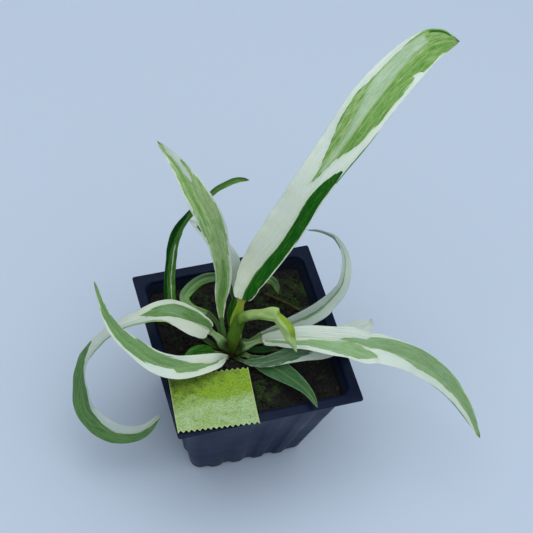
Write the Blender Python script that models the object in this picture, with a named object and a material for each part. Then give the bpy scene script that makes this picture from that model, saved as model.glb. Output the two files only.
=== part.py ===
"""Potted philodendron: a young strap-leaved, white-variegated plant in a square nursery pot.

The pot's sides run along X and Y and its base lies on z = 0, centred on the origin.
The front is towards -Y. All sizes below are millimetres and become metres at the end.

Every leaf is one closed solid: a round stalk that widens, past its joint, into a folded blade.
A leaf is a list of rows (x, y, z, width, turn) along its midrib, joined by a smooth curve.
The turn is the angle in degrees by which the blade's face is rolled away from the light.
"""

import math

import bpy
import numpy as np

MM = 0.001
GAP = 0.3                       # clearance between neighbouring pieces

# Pot
RIM_HALF = 45.0                 # half of the rim's outer side
POT_HEIGHT = 72.0
BASE_HALF = 28.8                # half of the base's side
WALL = 0.9
FLOOR = 1.2
BASE_ROUND = 3.0                # rounding between the base and the wall
WALL_TOP = 69.8                 # where the wall meets the rim's underside
WALL_TOP_HALF = 40.4
RIM_THICKNESS = 1.2
FLOOR_EDGE = 4.0                # inside, where the wall bends into the floor
FLOOR_HALF = 25.0
BASE_CORNER = 5.5               # radius of the upright corners at the base
TOP_CORNER = 4.5
RIM_CORNER = 1.2
LIP_CORNER = 4.5                # radius where the rim's top bends down inside
RIB_PLACES = (-0.72, -0.27, 0.18, 0.63)  # along each side, as a share of its straight part
RIB_FOOT = 0.18                 # half width of a rib where it leaves the wall, same share
RIB_CREST = 0.09
RIB_HEIGHT = 1.3                # how far a rib stands proud at the base
RIB_END = 62.0                  # height where a rib has faded out
DRAIN_RADIUS = 4.0
DRAIN_PLACE = 16.0

# Soil
SOIL_TOP = 63.8
SOIL_RELIEF = 1.3
SOIL_SECTORS = 52

# Crown, the short stem that carries the leaves
CROWN_X = -7.0
CROWN_Y = -1.5
CROWN_PROFILE = ((0.0, 55.3), (2.6, 55.6), (3.5, 59.0), (4.0, 63.0), (4.3, 66.0),
                 (3.9, 69.0), (3.0, 71.8), (1.9, 73.6), (0.0, 74.4))
CROWN_SECTORS = 20
HOLE_RADIUS = 5.0
HOLE_FLOOR = 55.0

# Leaves
LIGHT = (-0.24, -0.51, 0.83)    # the direction that the leaves turn their faces to
STEP = 4.0                      # length of one segment along a leaf
THICKNESS = 0.7                 # blade at its margin
MIDRIB = 1.2                    # blade at its midrib
SEAT_CLEARANCE = 1.45           # from the crown's surface to the centre of a stalk's foot
ACROSS = (-1.0, -0.52, 0.0, 0.52, 1.0)
STALK_ANGLES = (168.0, 128.0, 90.0, 52.0, 12.0)

# Label tape
TAPE_WIDTH = 38.3
TAPE_DEPTH = 31.0
TAPE_CENTRE = (-24.2, -29.4)
TAPE_TURN = -5.5
TAPE_THICKNESS = 0.6
TAPE_TEETH = 15
TOOTH_DEPTH = 1.3
TAPE_LIFT = 0.9                 # how far its front end curls up
TAPE_ROWS = (0.0, 0.12, 0.3, 0.6, 1.0)

# name: (seat on the crown as heading and height, stalk rows, fold, wave, rows)
LEAVES = {
    "leaf_tall": ((55, 70.0), 3, 14, 0.5, (
        (-6, 3, 78, 3.4, 0),
        (-2, 9, 92, 3.6, 0),
        (1, 12, 98, 9.0, 0),
        (6, 16, 106, 15.5, -3),
        (19, 22, 127, 18.0, -6),
        (33, 30, 147, 17.2, -8),
        (51, 41, 164, 20.0, -6),
        (62, 49, 172, 20.5, -4),
        (77, 59, 178, 19.5, -4),
        (94, 69, 181, 16.0, -8),
        (105, 74, 179, 11.5, -12),
        (115, 76, 174, 1.2, -16))),
    "leaf_curl": ((172, 69.0), 3, 12, 0.4, (
        (-13, 2, 72, 3.2, 0),
        (-17, 4, 77, 3.6, 0),
        (-23, 6, 82, 11.5, 5),
        (-32, 11, 87, 12.0, 15),
        (-39, 13, 88, 11.5, 35),
        (-49, 13, 86, 11.0, 56),
        (-60, 14, 80, 11.0, 60),
        (-69, 13, 71, 11.0, 66),
        (-76, 10, 61, 11.5, 62),
        (-79, 3, 51, 12.0, 45),
        (-78, -6, 41, 11.5, 30),
        (-68, -15, 33, 11.0, 16),
        (-54, -17, 30, 7.0, 8),
        (-42, -11, 33, 1.2, 0))),
    "leaf_sweep": ((222, 66.2), 2, 14, 0.4, (
        (-13, -8, 72, 3.0, 0),
        (-19, -12, 77, 7.5, 8),
        (-29, -14, 80, 10.0, 12),
        (-39, -14, 82, 11.0, 14),
        (-48, -10, 84, 10.5, 16),
        (-56, -3, 88, 9.0, 20),
        (-63, 4, 93, 6.5, 25),
        (-67, 13, 99, 3.8, 28),
        (-69, 24, 108, 1.2, 30))),
    "leaf_upright": ((128, 70.4), 3, 20, 0.4, (
        (-10, 4, 73, 2.8, 0),
        (-11, 7, 81, 3.2, 0),
        (-11, 12, 91, 6.8, 25),
        (-10, 16, 105, 7.8, 22),
        (-12, 20, 121, 9.2, 16),
        (-15, 24, 135, 11.5, 8),
        (-21, 31, 149, 11.5, 4),
        (-28, 41, 161, 7.2, 0),
        (-36, 50, 170, 1.2, 0))),
    "leaf_hook": ((150, 65.0), 3, 18, 0.3, (
        (-16, 2, 68, 2.6, 0),
        (-23, 8, 73, 2.8, 0),
        (-30, 15, 79, 3.2, 20),
        (-33, 20, 85, 5.6, 35),
        (-33, 25, 93, 6.4, 42),
        (-32, 29, 104, 6.0, 48),
        (-30, 33, 118, 5.8, 50),
        (-26, 35, 127, 5.4, 55),
        (-18, 37, 136, 5.0, 58),
        (-8, 40, 142, 4.0, 60),
        (0, 41, 144, 3.0, 55),
        (6, 41, 142, 1.2, 50))),
    "leaf_arch": ((118, 65.0), 3, 16, 0.3, (
        (-11, 10, 71, 2.4, 0),
        (-15, 15, 75, 2.6, 0),
        (-21, 18, 77, 3.0, 10),
        (-24, 22, 77, 4.2, 20),
        (-24, 26, 78, 5.4, 30),
        (-18, 30, 80, 5.6, 35),
        (-12, 31, 82, 5.6, 38),
        (-5, 29, 84, 5.4, 45),
        (3, 27, 85, 5.0, 50),
        (12, 25, 84, 4.6, 45),
        (18, 24, 81, 4.4, 35),
        (21, 23, 77, 3.8, 25),
        (22, 20, 73, 1.2, 15))),
    "leaf_ring": ((18, 67.4), 3, 16, 0.3, (
        (2, -1, 69, 2.6, 0),
        (7, -1, 73, 3.0, 0),
        (14, -2, 78, 3.4, 0),
        (20, -3, 82, 6.5, 10),
        (27, -4, 87, 8.5, 18),
        (33, -4, 92, 9.0, 22),
        (39, -2, 97, 8.6, 32),
        (44, 1, 101, 8.0, 38),
        (47, 6, 104, 7.2, 46),
        (49, 12, 105, 6.4, 54),
        (50, 18, 104, 5.4, 62),
        (50, 25, 102, 5.2, 70),
        (49, 30, 100, 4.2, 74),
        (45, 36, 97, 3.0, 76),
        (40, 40, 94, 1.2, 76))),
    "leaf_broad": ((345, 69.4), 3, 14, 0.5, (
        (-1, -4, 71, 3.2, 0),
        (5, -6, 77, 3.8, 0),
        (14, -11, 84, 8.5, -5),
        (24, -16, 89, 11.5, -8),
        (34, -22, 92, 13.5, -10),
        (41, -25, 93, 14.5, -10),
        (48, -29, 92, 14.5, -10),
        (55, -30, 90, 13.8, -10),
        (67, -33, 84, 13.0, -10),
        (75, -36, 79, 12.6, -10),
        (83, -40, 73, 11.6, -10),
        (89, -44, 67, 10.4, -10),
        (94, -49, 61, 8.6, -10),
        (98, -55, 55, 6.2, -8),
        (101, -60, 49, 3.6, -6),
        (103, -65, 45, 1.2, -5))),
    "leaf_under": ((287, 65.2), 2, 12, 0.3, (
        (-4, -10, 68, 2.6, 0),
        (0, -14, 71.5, 4.4, -8),
        (6, -16, 74, 5.4, -10),
        (13, -17, 77, 7.0, -12),
        (22, -17, 79, 10.0, -15),
        (31, -17, 80, 13.0, -15),
        (40, -16, 81, 12.5, -15),
        (48, -14, 82, 10.0, -15),
        (54, -13, 83, 8.0, -10),
        (57, -12, 84, 3.6, -10),
        (58, -10, 84.5, 1.2, -10))),
    "leaf_front": ((320, 66.0), 2, 14, 0.3, (
        (0, -8, 67, 2.4, -10),
        (4, -13, 69, 7.0, -12),
        (9, -17, 71, 10.5, -15),
        (14, -23, 72, 9.0, -15),
        (19, -31, 74, 6.8, -12),
        (22, -37, 76, 4.6, -10),
        (21, -46, 77, 1.2, -8))),
    "leaf_left_low": ((196, 65.6), 2, 16, 0.2, (
        (-16, -2, 67, 2.2, 0),
        (-20, -2, 69, 5.0, 10),
        (-26, -4, 71, 6.0, 15),
        (-31, -7, 72, 4.6, 15),
        (-36, -11, 73, 1.2, 15))),
    "leaf_right_low": ((350, 66.0), 1, 14, 0.2, (
        (1, -4, 67, 2.2, -20),
        (6, -6, 68, 3.6, -20),
        (11, -7, 69, 2.8, -20),
        (14, -9, 69, 1.2, -20))),
    "leaf_inner": ((80, 67.0), 2, 20, 0.2, (
        (-6, 6, 73, 2.0, 0),
        (-6, 9, 79, 3.6, 10),
        (-5, 11, 85, 3.6, 10),
        (-3, 13, 91, 1.2, 10))),
    "leaf_behind": ((45, 66.0), 2, 16, 0.3, (
        (-1, 10, 74, 2.6, 0),
        (-2, 15, 83, 3.0, 0),
        (-3, 19, 91, 6.5, 5),
        (-4, 24, 101, 10.0, 5),
        (-8, 29, 109, 9.0, 5),
        (-13, 35, 113, 6.0, 5),
        (-20, 43, 116, 1.2, 5))),
    "leaf_new": ((90, 74.9), 99, 0, 0.0, (
        (-7, -1, 78, 2.4, 0),
        (-5, 1, 84, 2.8, 0),
        (-4, 1, 89, 3.8, 0),
        (-2, -1, 94, 4.8, 0),
        (1, -4, 99, 5.2, 0),
        (5, -7, 102, 5.2, 0),
        (9, -10, 103, 5.0, 0),
        (12, -16, 102, 4.2, 0),
        (13, -20, 99, 3.2, 0),
        (15, -25, 94, 1.2, 0))),
}

GREEN = (0.13, 0.30, 0.06)
PALE_GREEN = (0.33, 0.50, 0.18)
CREAM = (0.62, 0.68, 0.55)


def clear_scene():
    """Remove whatever the file opened with."""
    for thing in list(bpy.data.objects):
        bpy.data.objects.remove(thing, do_unlink=True)


def principled(name, colour, roughness):
    """A plain Principled material."""
    material = bpy.data.materials.new(name)
    material.use_nodes = True
    shader = material.node_tree.nodes["Principled BSDF"]
    shader.inputs["Base Color"].default_value = (*colour, 1.0)
    shader.inputs["Roughness"].default_value = roughness
    shader.inputs["Metallic"].default_value = 0.0
    material.diffuse_color = (*colour, 1.0)
    return material


def add_mesh(name, points, faces, material):
    """Turn points in millimetres and their faces into a smooth-shaded object."""
    mesh = bpy.data.meshes.new(name)
    mesh.from_pydata((np.asarray(points) * MM).tolist(), [], faces)
    mesh.materials.append(material)
    mesh.shade_smooth()
    mesh.set_sharp_from_angle(angle=math.radians(40))
    part = bpy.data.objects.new(name, mesh)
    bpy.context.scene.collection.objects.link(part)
    return part


def ring_faces(ring_count, ring_size, start=0):
    """Quads between successive rings of points, facing outwards for rings that climb."""
    faces = []
    for ring in range(ring_count - 1):
        low = start + ring * ring_size
        high = low + ring_size
        for i in range(ring_size):
            j = (i + 1) % ring_size
            faces.append((low + i, low + j, high + j, high + i))
    return faces


def wall_half(z):
    """Half the pot's outer side at height z, on the flat of the wall."""
    return BASE_HALF + (WALL_TOP_HALF - BASE_HALF) * z / WALL_TOP


def wall_corner(z):
    """Radius of the pot's upright corners at height z."""
    return BASE_CORNER + (TOP_CORNER - BASE_CORNER) * z / WALL_TOP


def rib_height(z):
    """How far the ribs stand proud at height z."""
    return RIB_HEIGHT * max(0.0, 1.0 - z / RIB_END)


def pot_ring(half, corner, z, rib):
    """One level outline of the pot: four ribbed sides joined by round corners."""
    side = [(-1.0, 0.0)]
    for place in RIB_PLACES:
        side += [(place - RIB_FOOT, 0.0), (place - RIB_CREST, rib)]
        side += [(place + RIB_CREST, rib), (place + RIB_FOOT, 0.0)]
    side.append((1.0, 0.0))
    straight = half - corner
    points = []
    for quarter in range(4):
        c, s = math.cos(quarter * math.pi / 2), math.sin(quarter * math.pi / 2)
        local = [(share * straight, -half - proud) for share, proud in side]
        for step in (1, 2, 3):
            angle = math.radians(-90 + 22.5 * step)
            local.append((straight + corner * math.cos(angle),
                          -straight + corner * math.sin(angle)))
        points += [(c * x - s * y, s * x + c * y, z) for x, y in local]
    return points


def make_pot():
    """The square nursery pot: tapered ribbed wall, flat rim, and four drain holes in its base."""
    rim_under = POT_HEIGHT - RIM_THICKNESS
    levels = [(BASE_HALF - BASE_ROUND, BASE_CORNER - 1.5, 0.0, RIB_HEIGHT * 0.5),
              (BASE_HALF - 0.3 * BASE_ROUND, BASE_CORNER - 0.5, 0.3 * BASE_ROUND, RIB_HEIGHT * 0.8),
              (wall_half(BASE_ROUND), BASE_CORNER, BASE_ROUND, rib_height(BASE_ROUND))]
    levels += [(wall_half(z), wall_corner(z), z, rib_height(z)) for z in (22.0, 44.0, RIB_END)]
    levels += [(WALL_TOP_HALF, TOP_CORNER, WALL_TOP, 0.0),
               (WALL_TOP_HALF + 0.8, TOP_CORNER - 0.5, rim_under, 0.0),
               (RIM_HALF - 0.2, RIM_CORNER, rim_under, 0.0),
               (RIM_HALF, RIM_CORNER, rim_under + 0.3, 0.0),
               (RIM_HALF, RIM_CORNER, POT_HEIGHT - 0.3, 0.0),
               (RIM_HALF - 0.3, RIM_CORNER, POT_HEIGHT, 0.0),
               (RIM_HALF - 3.9, LIP_CORNER, POT_HEIGHT, 0.0),
               (RIM_HALF - 4.9, LIP_CORNER + 0.4, POT_HEIGHT - 0.5, 0.0),
               (WALL_TOP_HALF - WALL, TOP_CORNER - WALL, WALL_TOP, 0.0)]
    levels += [(wall_half(z) - WALL, wall_corner(z) - WALL, z, 0.0) for z in (35.0, FLOOR_EDGE)]
    levels.append((FLOOR_HALF, BASE_CORNER - 2.0, FLOOR, 0.0))
    rings = [pot_ring(*level) for level in levels]
    ring_size = len(rings[0])
    points = [point for ring in rings for point in ring]
    faces = ring_faces(len(rings), ring_size)
    last = (len(rings) - 1) * ring_size
    faces.append(tuple(reversed(range(ring_size))))
    faces.append(tuple(range(last, last + ring_size)))
    pot = add_mesh("pot", points, faces, principled("black_plastic", (0.012, 0.014, 0.022), 0.45))
    for number, (sx, sy) in enumerate(((1, 1), (-1, 1), (-1, -1), (1, -1))):
        bpy.ops.mesh.primitive_cylinder_add(
            vertices=20, radius=DRAIN_RADIUS * MM, depth=0.01,
            location=(sx * DRAIN_PLACE * MM, sy * DRAIN_PLACE * MM, 0.0))
        cutter = bpy.context.object
        cutter.name = "drain_cutter_%d" % number
        cutter.hide_render = True
        cutter.display_type = "WIRE"
        cut = pot.modifiers.new("drain_%d" % number, "BOOLEAN")
        cut.operation = "DIFFERENCE"
        cut.object = cutter
    return pot


def soil_relief(x, y):
    """Lumps of the soil's surface, in millimetres above or below its mean level."""
    lumps = np.sin(0.21 * x + 0.9) * np.cos(0.19 * y - 0.4)
    lumps += 0.6 * np.sin(0.43 * x - 0.31 * y + 2.1)
    lumps += 0.4 * np.cos(0.37 * x + 0.52 * y)
    return SOIL_RELIEF * lumps / 1.6


def square_radius(angle, half, corner):
    """Distance from the middle of a round-cornered square to its outline, along an angle."""
    c, s = abs(math.cos(angle)), abs(math.sin(angle))
    inner = half - corner
    if c * half / max(s, c) <= inner or s * half / max(s, c) <= inner:
        return half / max(s, c)
    along = inner * (c + s)
    return along + math.sqrt(max(0.0, along ** 2 - 2 * inner ** 2 + corner ** 2))


def make_soil():
    """Potting soil: fills the pot, lumpy on top, with a plain hole that the crown stands in."""
    angles = np.linspace(0, 2 * math.pi, SOIL_SECTORS, endpoint=False)
    top_half = wall_half(SOIL_TOP) - WALL - GAP
    base_level = FLOOR + GAP
    low_level = FLOOR_EDGE + GAP
    low_half = wall_half(low_level) - WALL - GAP
    crown = np.array((CROWN_X, CROWN_Y))
    circle = crown + HOLE_RADIUS * np.stack((np.cos(angles), np.sin(angles)), 1)
    rings = [np.column_stack((circle, np.full(SOIL_SECTORS, HOLE_FLOOR)))]
    edge = []
    for half, corner, level in ((top_half, wall_corner(SOIL_TOP) - WALL, SOIL_TOP),
                                (low_half, wall_corner(low_level) - WALL, low_level),
                                (FLOOR_HALF - GAP, BASE_CORNER - 2.0, base_level)):
        reach = np.array([square_radius(a, half, corner) for a in angles])
        xy = np.stack((reach * np.cos(angles), reach * np.sin(angles)), 1)
        edge.append(np.column_stack((xy, np.full(SOIL_SECTORS, level))))
    for share in (0.0, 0.1, 0.22, 0.36, 0.5, 0.64, 0.78, 0.9, 1.0):
        xy = circle * (1 - share) + edge[0][:, :2] * share
        fade = min(1.0, 6 * share) * min(1.0, 6 * (1 - share))
        rings.append(np.column_stack((xy, SOIL_TOP + fade * soil_relief(xy[:, 0], xy[:, 1]))))
    rings += edge[1:]
    points = np.concatenate(rings)
    faces = [tuple(reversed(face)) for face in ring_faces(len(rings), SOIL_SECTORS)]
    last = (len(rings) - 1) * SOIL_SECTORS
    faces.append(tuple(range(SOIL_SECTORS)))
    faces.append(tuple(reversed(range(last, last + SOIL_SECTORS))))
    return add_mesh("soil", points, faces, principled("soil", (0.035, 0.026, 0.018), 0.95))


def crown_radius(z):
    """Radius of the crown at height z."""
    radii, levels = zip(*CROWN_PROFILE)
    return float(np.interp(z, levels, radii))


def make_crown():
    """The short stem in the soil, turned about its own axis."""
    angles = np.linspace(0, 2 * math.pi, CROWN_SECTORS, endpoint=False)
    points = []
    for radius, level in CROWN_PROFILE[1:-1]:
        x = CROWN_X + radius * np.cos(angles)
        y = CROWN_Y + radius * np.sin(angles)
        points.append(np.column_stack((x, y, np.full(CROWN_SECTORS, level))))
    ring_count = len(points)
    points = np.concatenate(points)
    tips = [(CROWN_X, CROWN_Y, CROWN_PROFILE[0][1]), (CROWN_X, CROWN_Y, CROWN_PROFILE[-1][1])]
    foot, top = len(points), len(points) + 1
    points = np.concatenate((points, tips))
    faces = ring_faces(ring_count, CROWN_SECTORS)
    last = (ring_count - 1) * CROWN_SECTORS
    for i in range(CROWN_SECTORS):
        j = (i + 1) % CROWN_SECTORS
        faces.append((foot, j, i))
        faces.append((top, last + i, last + j))
    return add_mesh("crown", points, faces, principled("crown", (0.20, 0.20, 0.07), 0.6))


def smooth_rows(rows, count):
    """Catmull-Rom curve through the rows, read at evenly spaced lengths."""
    rows = np.asarray(rows, float)
    padded = np.vstack((2 * rows[0] - rows[1], rows, 2 * rows[-1] - rows[-2]))
    fine = []
    for i in range(1, len(padded) - 2):
        a, b, c, d = padded[i - 1:i + 3]
        t = np.linspace(0, 1, 24, endpoint=False)[:, None]
        fine.append(0.5 * (2 * b + (c - a) * t + (2 * a - 5 * b + 4 * c - d) * t ** 2
                           + (3 * b - a - 3 * c + d) * t ** 3))
    fine = np.vstack(fine + [rows[-1:]])
    length = np.insert(np.cumsum(np.linalg.norm(np.diff(fine[:, :3], axis=0), axis=1)), 0, 0.0)
    wanted = np.linspace(0, length[-1], count)
    return np.column_stack([np.interp(wanted, length, column) for column in fine.T])


def unit(vectors):
    """The same directions with length one."""
    return vectors / np.linalg.norm(vectors, axis=-1, keepdims=True)


def leaf_grid(seat, stalk_rows, fold, wave, rows):
    """Points of a leaf as an array (station, place around the section, xyz).

    The section goes across the upper side and back along the lower side. It changes from a
    round stalk to a folded blade over the row that follows the stalk's rows.
    """
    heading, level = math.radians(seat[0]), seat[1]
    if level < CROWN_PROFILE[-1][1]:
        reach = crown_radius(level) + SEAT_CLEARANCE
        foot = (CROWN_X + reach * math.cos(heading), CROWN_Y + reach * math.sin(heading), level)
    else:
        foot = (CROWN_X, CROWN_Y, level)
    rows = [(*foot, min(2.2, rows[0][3]), rows[0][4])] + list(rows)
    blade = [0.0 if i < stalk_rows else 1.0 for i in range(len(rows))]
    table = np.column_stack((np.asarray(rows, float), blade))
    length = np.linalg.norm(np.diff(table[:, :3], axis=0), axis=1).sum()
    count = max(6, int(round(length / STEP)) + 1)
    table = smooth_rows(table, count)
    spine, width, turn = table[:, :3], np.maximum(table[:, 3], 1.2), np.radians(table[:, 4])
    flat = np.clip(table[:, 5], 0, 1)[:, None]

    along = unit(np.gradient(spine, axis=0))
    light = np.asarray(LIGHT)
    face = unit(light - (along @ light)[:, None] * along)
    right = np.cross(along, face)
    normal = np.cos(turn)[:, None] * face + np.sin(turn)[:, None] * right
    across = np.cross(along, normal)

    share = np.asarray(ACROSS)
    half = width[:, None] / 2
    progress = np.linspace(0, 1, count)[:, None]
    ripple = wave * np.sin(2 * math.pi * (length / 38 * progress + 0.2 * share)) * share ** 2
    rise = half * np.abs(share) * math.tan(math.radians(fold)) + ripple * flat
    depth = (MIDRIB - (MIDRIB - THICKNESS) * np.abs(share)) * np.ones_like(half)
    depth = np.minimum(depth, np.maximum(width[:, None] * 0.6, THICKNESS))
    angle = np.radians(STALK_ANGLES)
    upper = (share * half, rise)
    lower = (share * half, rise - depth)
    round_upper = (np.cos(angle) * half, np.sin(angle) * half)
    round_lower = (np.cos(angle) * half, -np.sin(angle) * half)
    sides = []
    for (bx, bz), (sx, sz) in ((upper, round_upper), (lower, round_lower)):
        x = flat * bx + (1 - flat) * sx
        z = flat * bz + (1 - flat) * sz
        sides.append(spine[:, None] + x[..., None] * across[:, None] + z[..., None] * normal[:, None])
    return np.concatenate((sides[0], sides[1][:, ::-1]), axis=1)


def leaf_faces(stations, section):
    """Triangles of a leaf, split along the same diagonal on its upper and lower sides."""
    faces = []
    half = section // 2
    for i in range(stations - 1):
        for k in range(section):
            n = (k + 1) % section
            a, b = i * section + k, i * section + n
            c, d = a + section, b + section
            if k < half:
                faces += [(a, b, d), (a, d, c)]
            else:
                faces += [(a, b, c), (b, d, c)]
    for start, flip in ((0, True), ((stations - 1) * section, False)):
        for k in range(half - 1):
            a, b = start + k, start + k + 1
            c, d = start + section - 2 - k, start + section - 1 - k
            pair = [(a, b, d), (b, c, d)]
            faces += [tuple(reversed(face)) for face in pair] if flip else pair
    return faces


def make_leaf(name, spec):
    """One leaf with its stalk."""
    grid = leaf_grid(*spec)
    stations, section = grid.shape[:2]
    material = principled(name, LEAF_COLOURS.get(name, GREEN), 0.45)
    return add_mesh(name, grid.reshape(-1, 3), leaf_faces(stations, section), material)


LEAF_COLOURS = {"leaf_new": PALE_GREEN, "leaf_upright": PALE_GREEN, "leaf_behind": CREAM,
                "leaf_ring": CREAM, "leaf_under": CREAM, "leaf_curl": CREAM}


def make_tape():
    """Strip of green paper tape on the rim's front left corner, cut with a toothed blade."""
    columns = 2 * TAPE_TEETH + 1
    x = np.linspace(-TAPE_WIDTH / 2, TAPE_WIDTH / 2, columns)
    tooth = TOOTH_DEPTH * (np.arange(columns) % 2)
    front = -TAPE_DEPTH / 2 + tooth
    back = TAPE_DEPTH / 2 - tooth
    turn = math.radians(TAPE_TURN)
    grids = []
    for lift in (TAPE_THICKNESS, 0.0):
        rows = []
        for share in TAPE_ROWS:
            y = front + (back - front) * share
            curl = TAPE_LIFT * np.clip(1 - share / 0.3, 0, 1) ** 2
            z = np.full(columns, POT_HEIGHT + GAP + curl + lift)
            world_x = TAPE_CENTRE[0] + x * math.cos(turn) - y * math.sin(turn)
            world_y = TAPE_CENTRE[1] + x * math.sin(turn) + y * math.cos(turn)
            rows.append(np.column_stack((world_x, world_y, z)))
        grids.append(np.concatenate(rows))
    points = np.concatenate(grids)
    row_count, under = len(TAPE_ROWS), len(grids[0])
    faces = []
    for r in range(row_count - 1):
        for c in range(columns - 1):
            a = r * columns + c
            quad = (a, a + 1, a + 1 + columns, a + columns)
            faces.append(quad)
            faces.append(tuple(reversed([under + q for q in quad])))
    last = (row_count - 1) * columns
    for c in range(columns - 1):
        faces.append((c, under + c, under + c + 1, c + 1))
        a = last + c
        faces.append((a + 1, under + a + 1, under + a, a))
    for r in range(row_count - 1):
        a, b = r * columns, (r + 1) * columns
        faces.append((b, under + b, under + a, a))
        a, b = a + columns - 1, b + columns - 1
        faces.append((a, under + a, under + b, b))
    return add_mesh("label_tape", points, faces, principled("label_tape", (0.25, 0.38, 0.08), 0.7))


def main():
    """Build every piece."""
    clear_scene()
    make_pot()
    make_soil()
    make_crown()
    for name, spec in LEAVES.items():
        make_leaf(name, spec)
    make_tape()


main()
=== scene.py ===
"""Looks of a young potted philodendron: strap-shaped leaves marbled cream and green, a square
nursery pot of mossy soil, and a bare strip of green paper tape on its rim.

Lengths in the tables are millimetres in the frame's axes: the pot's sides run along X and Y,
its base lies on z = 0, and its front is towards -Y. A piece's mesh is turned to metres as it is
made. Along a leaf, places are given in percent from its foot to its tip; across it, as a share
of its half width, from -1 at the left margin to 1 at the right, looking from foot to tip at the
side that faces the light.
"""

import math

import bpy
import numpy as np
from bpy.props import FloatProperty, FloatVectorProperty, IntProperty, PointerProperty
from mathutils import Matrix, Vector


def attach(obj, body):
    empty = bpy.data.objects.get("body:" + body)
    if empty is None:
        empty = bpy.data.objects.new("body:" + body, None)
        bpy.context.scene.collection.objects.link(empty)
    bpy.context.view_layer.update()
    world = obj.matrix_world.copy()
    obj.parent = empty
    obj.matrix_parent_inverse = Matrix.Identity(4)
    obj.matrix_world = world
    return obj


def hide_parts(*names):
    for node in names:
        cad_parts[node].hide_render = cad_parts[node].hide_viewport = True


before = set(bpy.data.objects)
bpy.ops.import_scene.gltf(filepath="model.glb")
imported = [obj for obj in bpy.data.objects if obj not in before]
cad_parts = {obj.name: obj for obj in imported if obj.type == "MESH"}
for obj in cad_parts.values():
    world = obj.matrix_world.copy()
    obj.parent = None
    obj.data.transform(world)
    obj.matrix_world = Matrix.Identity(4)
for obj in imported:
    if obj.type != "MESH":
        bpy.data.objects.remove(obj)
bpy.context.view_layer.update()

bl_info = {
    "name": "Potted philodendron",
    "version": (1, 0, 0),
    "blender": (4, 5, 0),
    "location": "3D View > Sidebar > Plant",
    "description": "Makes the fine surfaces and finishes of a marbled plant in a nursery pot",
    "category": "Add Mesh",
}

MM = 0.001
BODY = "root"

# Pot, as in the frame
RIM_HALF = 45.0
POT_HEIGHT = 72.0
BASE_HALF = 28.8
WALL = 0.9
FLOOR = 1.2
BASE_ROUND = 3.0
WALL_TOP = 69.8
WALL_TOP_HALF = 40.4
RIM_THICKNESS = 1.2
FLOOR_EDGE = 4.0
FLOOR_HALF = 25.0
BASE_CORNER = 5.5
TOP_CORNER = 4.5
RIM_CORNER = 1.2
LIP_CORNER = 4.5
RIB_PLACES = (-0.72, -0.27, 0.18, 0.63)
RIB_FOOT = 0.18
RIB_CREST = 0.06
RIB_END = 68.0
RIM_ROUND = 0.4
RIM_FILLET = 0.8
LIP_REACH = 3.9
FLOOR_CORNER = 3.5
DRAIN_RADIUS = 4.0
DRAIN_PLACE = 16.0
DRAIN_SIDES = 48
SIDE_POINTS = 75
CORNER_POINTS = 11
BEND_POINTS = 8
SHARP_DEGREES = 40

# Soil
GAP = 0.3
SOIL_TOP = 63.8
SOIL_RELIEF = 1.3
SOIL_SECTORS = 300
SOIL_RINGS = 120
HOLE_RADIUS = 5.0
HOLE_FLOOR = 55.0
BARK_BITS = 50
# x, y, spread and strength of the moss patches
MOSS_PATCHES = ((-3, -28, 7, 0.9), (5, -25, 6, 0.65), (29, 3, 11, 0.6), (27, 20, 10, 0.6),
                (36, 27, 8, 0.6), (16, 33, 10, 0.5), (-12, 29, 10, 0.5), (4, -15, 8, 0.5),
                (33, -12, 8, 0.4), (-26, 14, 11, 0.4), (12, 10, 14, 0.35), (-28, -20, 12, 0.3))
TWIG_PATH = ((14, 27, 66.0), (20, 22.5, 67.0), (26, 17, 67.2), (32, 12, 66.2), (37, 9, 65.0))
TWIG_STATIONS = 90
TWIG_SECTORS = 14
TWIG_RADIUS = 0.75

# Crown
CROWN_X = -7.0
CROWN_Y = -1.5
CROWN_RINGS = 70
CROWN_COLUMNS = 84
CROWN_PROFILE = ((0.0, 55.3), (2.6, 55.6), (3.5, 59.0), (4.0, 63.0), (4.3, 66.0),
                 (3.9, 69.0), (3.0, 71.8), (1.9, 73.6), (0.0, 74.4))
# The stem itself is thinner than the frame's above the soil, where the stalks' feet wrap it
STEM_PROFILE = ((2.6, 55.6), (3.4, 59.0), (3.6, 62.0), (3.1, 64.5), (2.3, 67.0), (1.7, 70.0), (1.2, 73.6))

# Leaves
# Where the light comes from that the upper sides face
LIGHT = (-0.24, -0.51, 0.83)
# A blade's grid: the shortest step along it, and the points across each side
STATION_STEP = 0.25
ACROSS_POINTS = 53
# How far a stalk's axis stands off the crown's profile, and how far below that it starts inside
SEAT_CLEARANCE = 1.45
FOOT_SINK = 3.0
NEW_LEAF_SINK = 8.0
# The tip narrows over this length, and its last point stands this far past it
TIP_LENGTH = 2.5
TIP_POINT = 0.4
NEW_TIP_POINT = 0.5
# A stalk's thickness as a share of its width, and its swelling at the joint
STALK_FLATNESS = 0.8
KNUCKLE_SWELL = 0.12
KNUCKLE_LENGTH = 1.1
# A blade's margin is round over this width. Its keel and the furrow above it are about this wide
MARGIN_ROUND = 0.4
KEEL_REACH = 0.7
FURROW_REACH = 0.45
FURROW_DEPTH = 0.2
RIPPLE_LENGTH = 38
# Shift of the streaks from leaf to leaf, and a distance past the reach of midrib and rim
STREAK_SHIFT = 317
NO_LINE = 9.0

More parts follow.
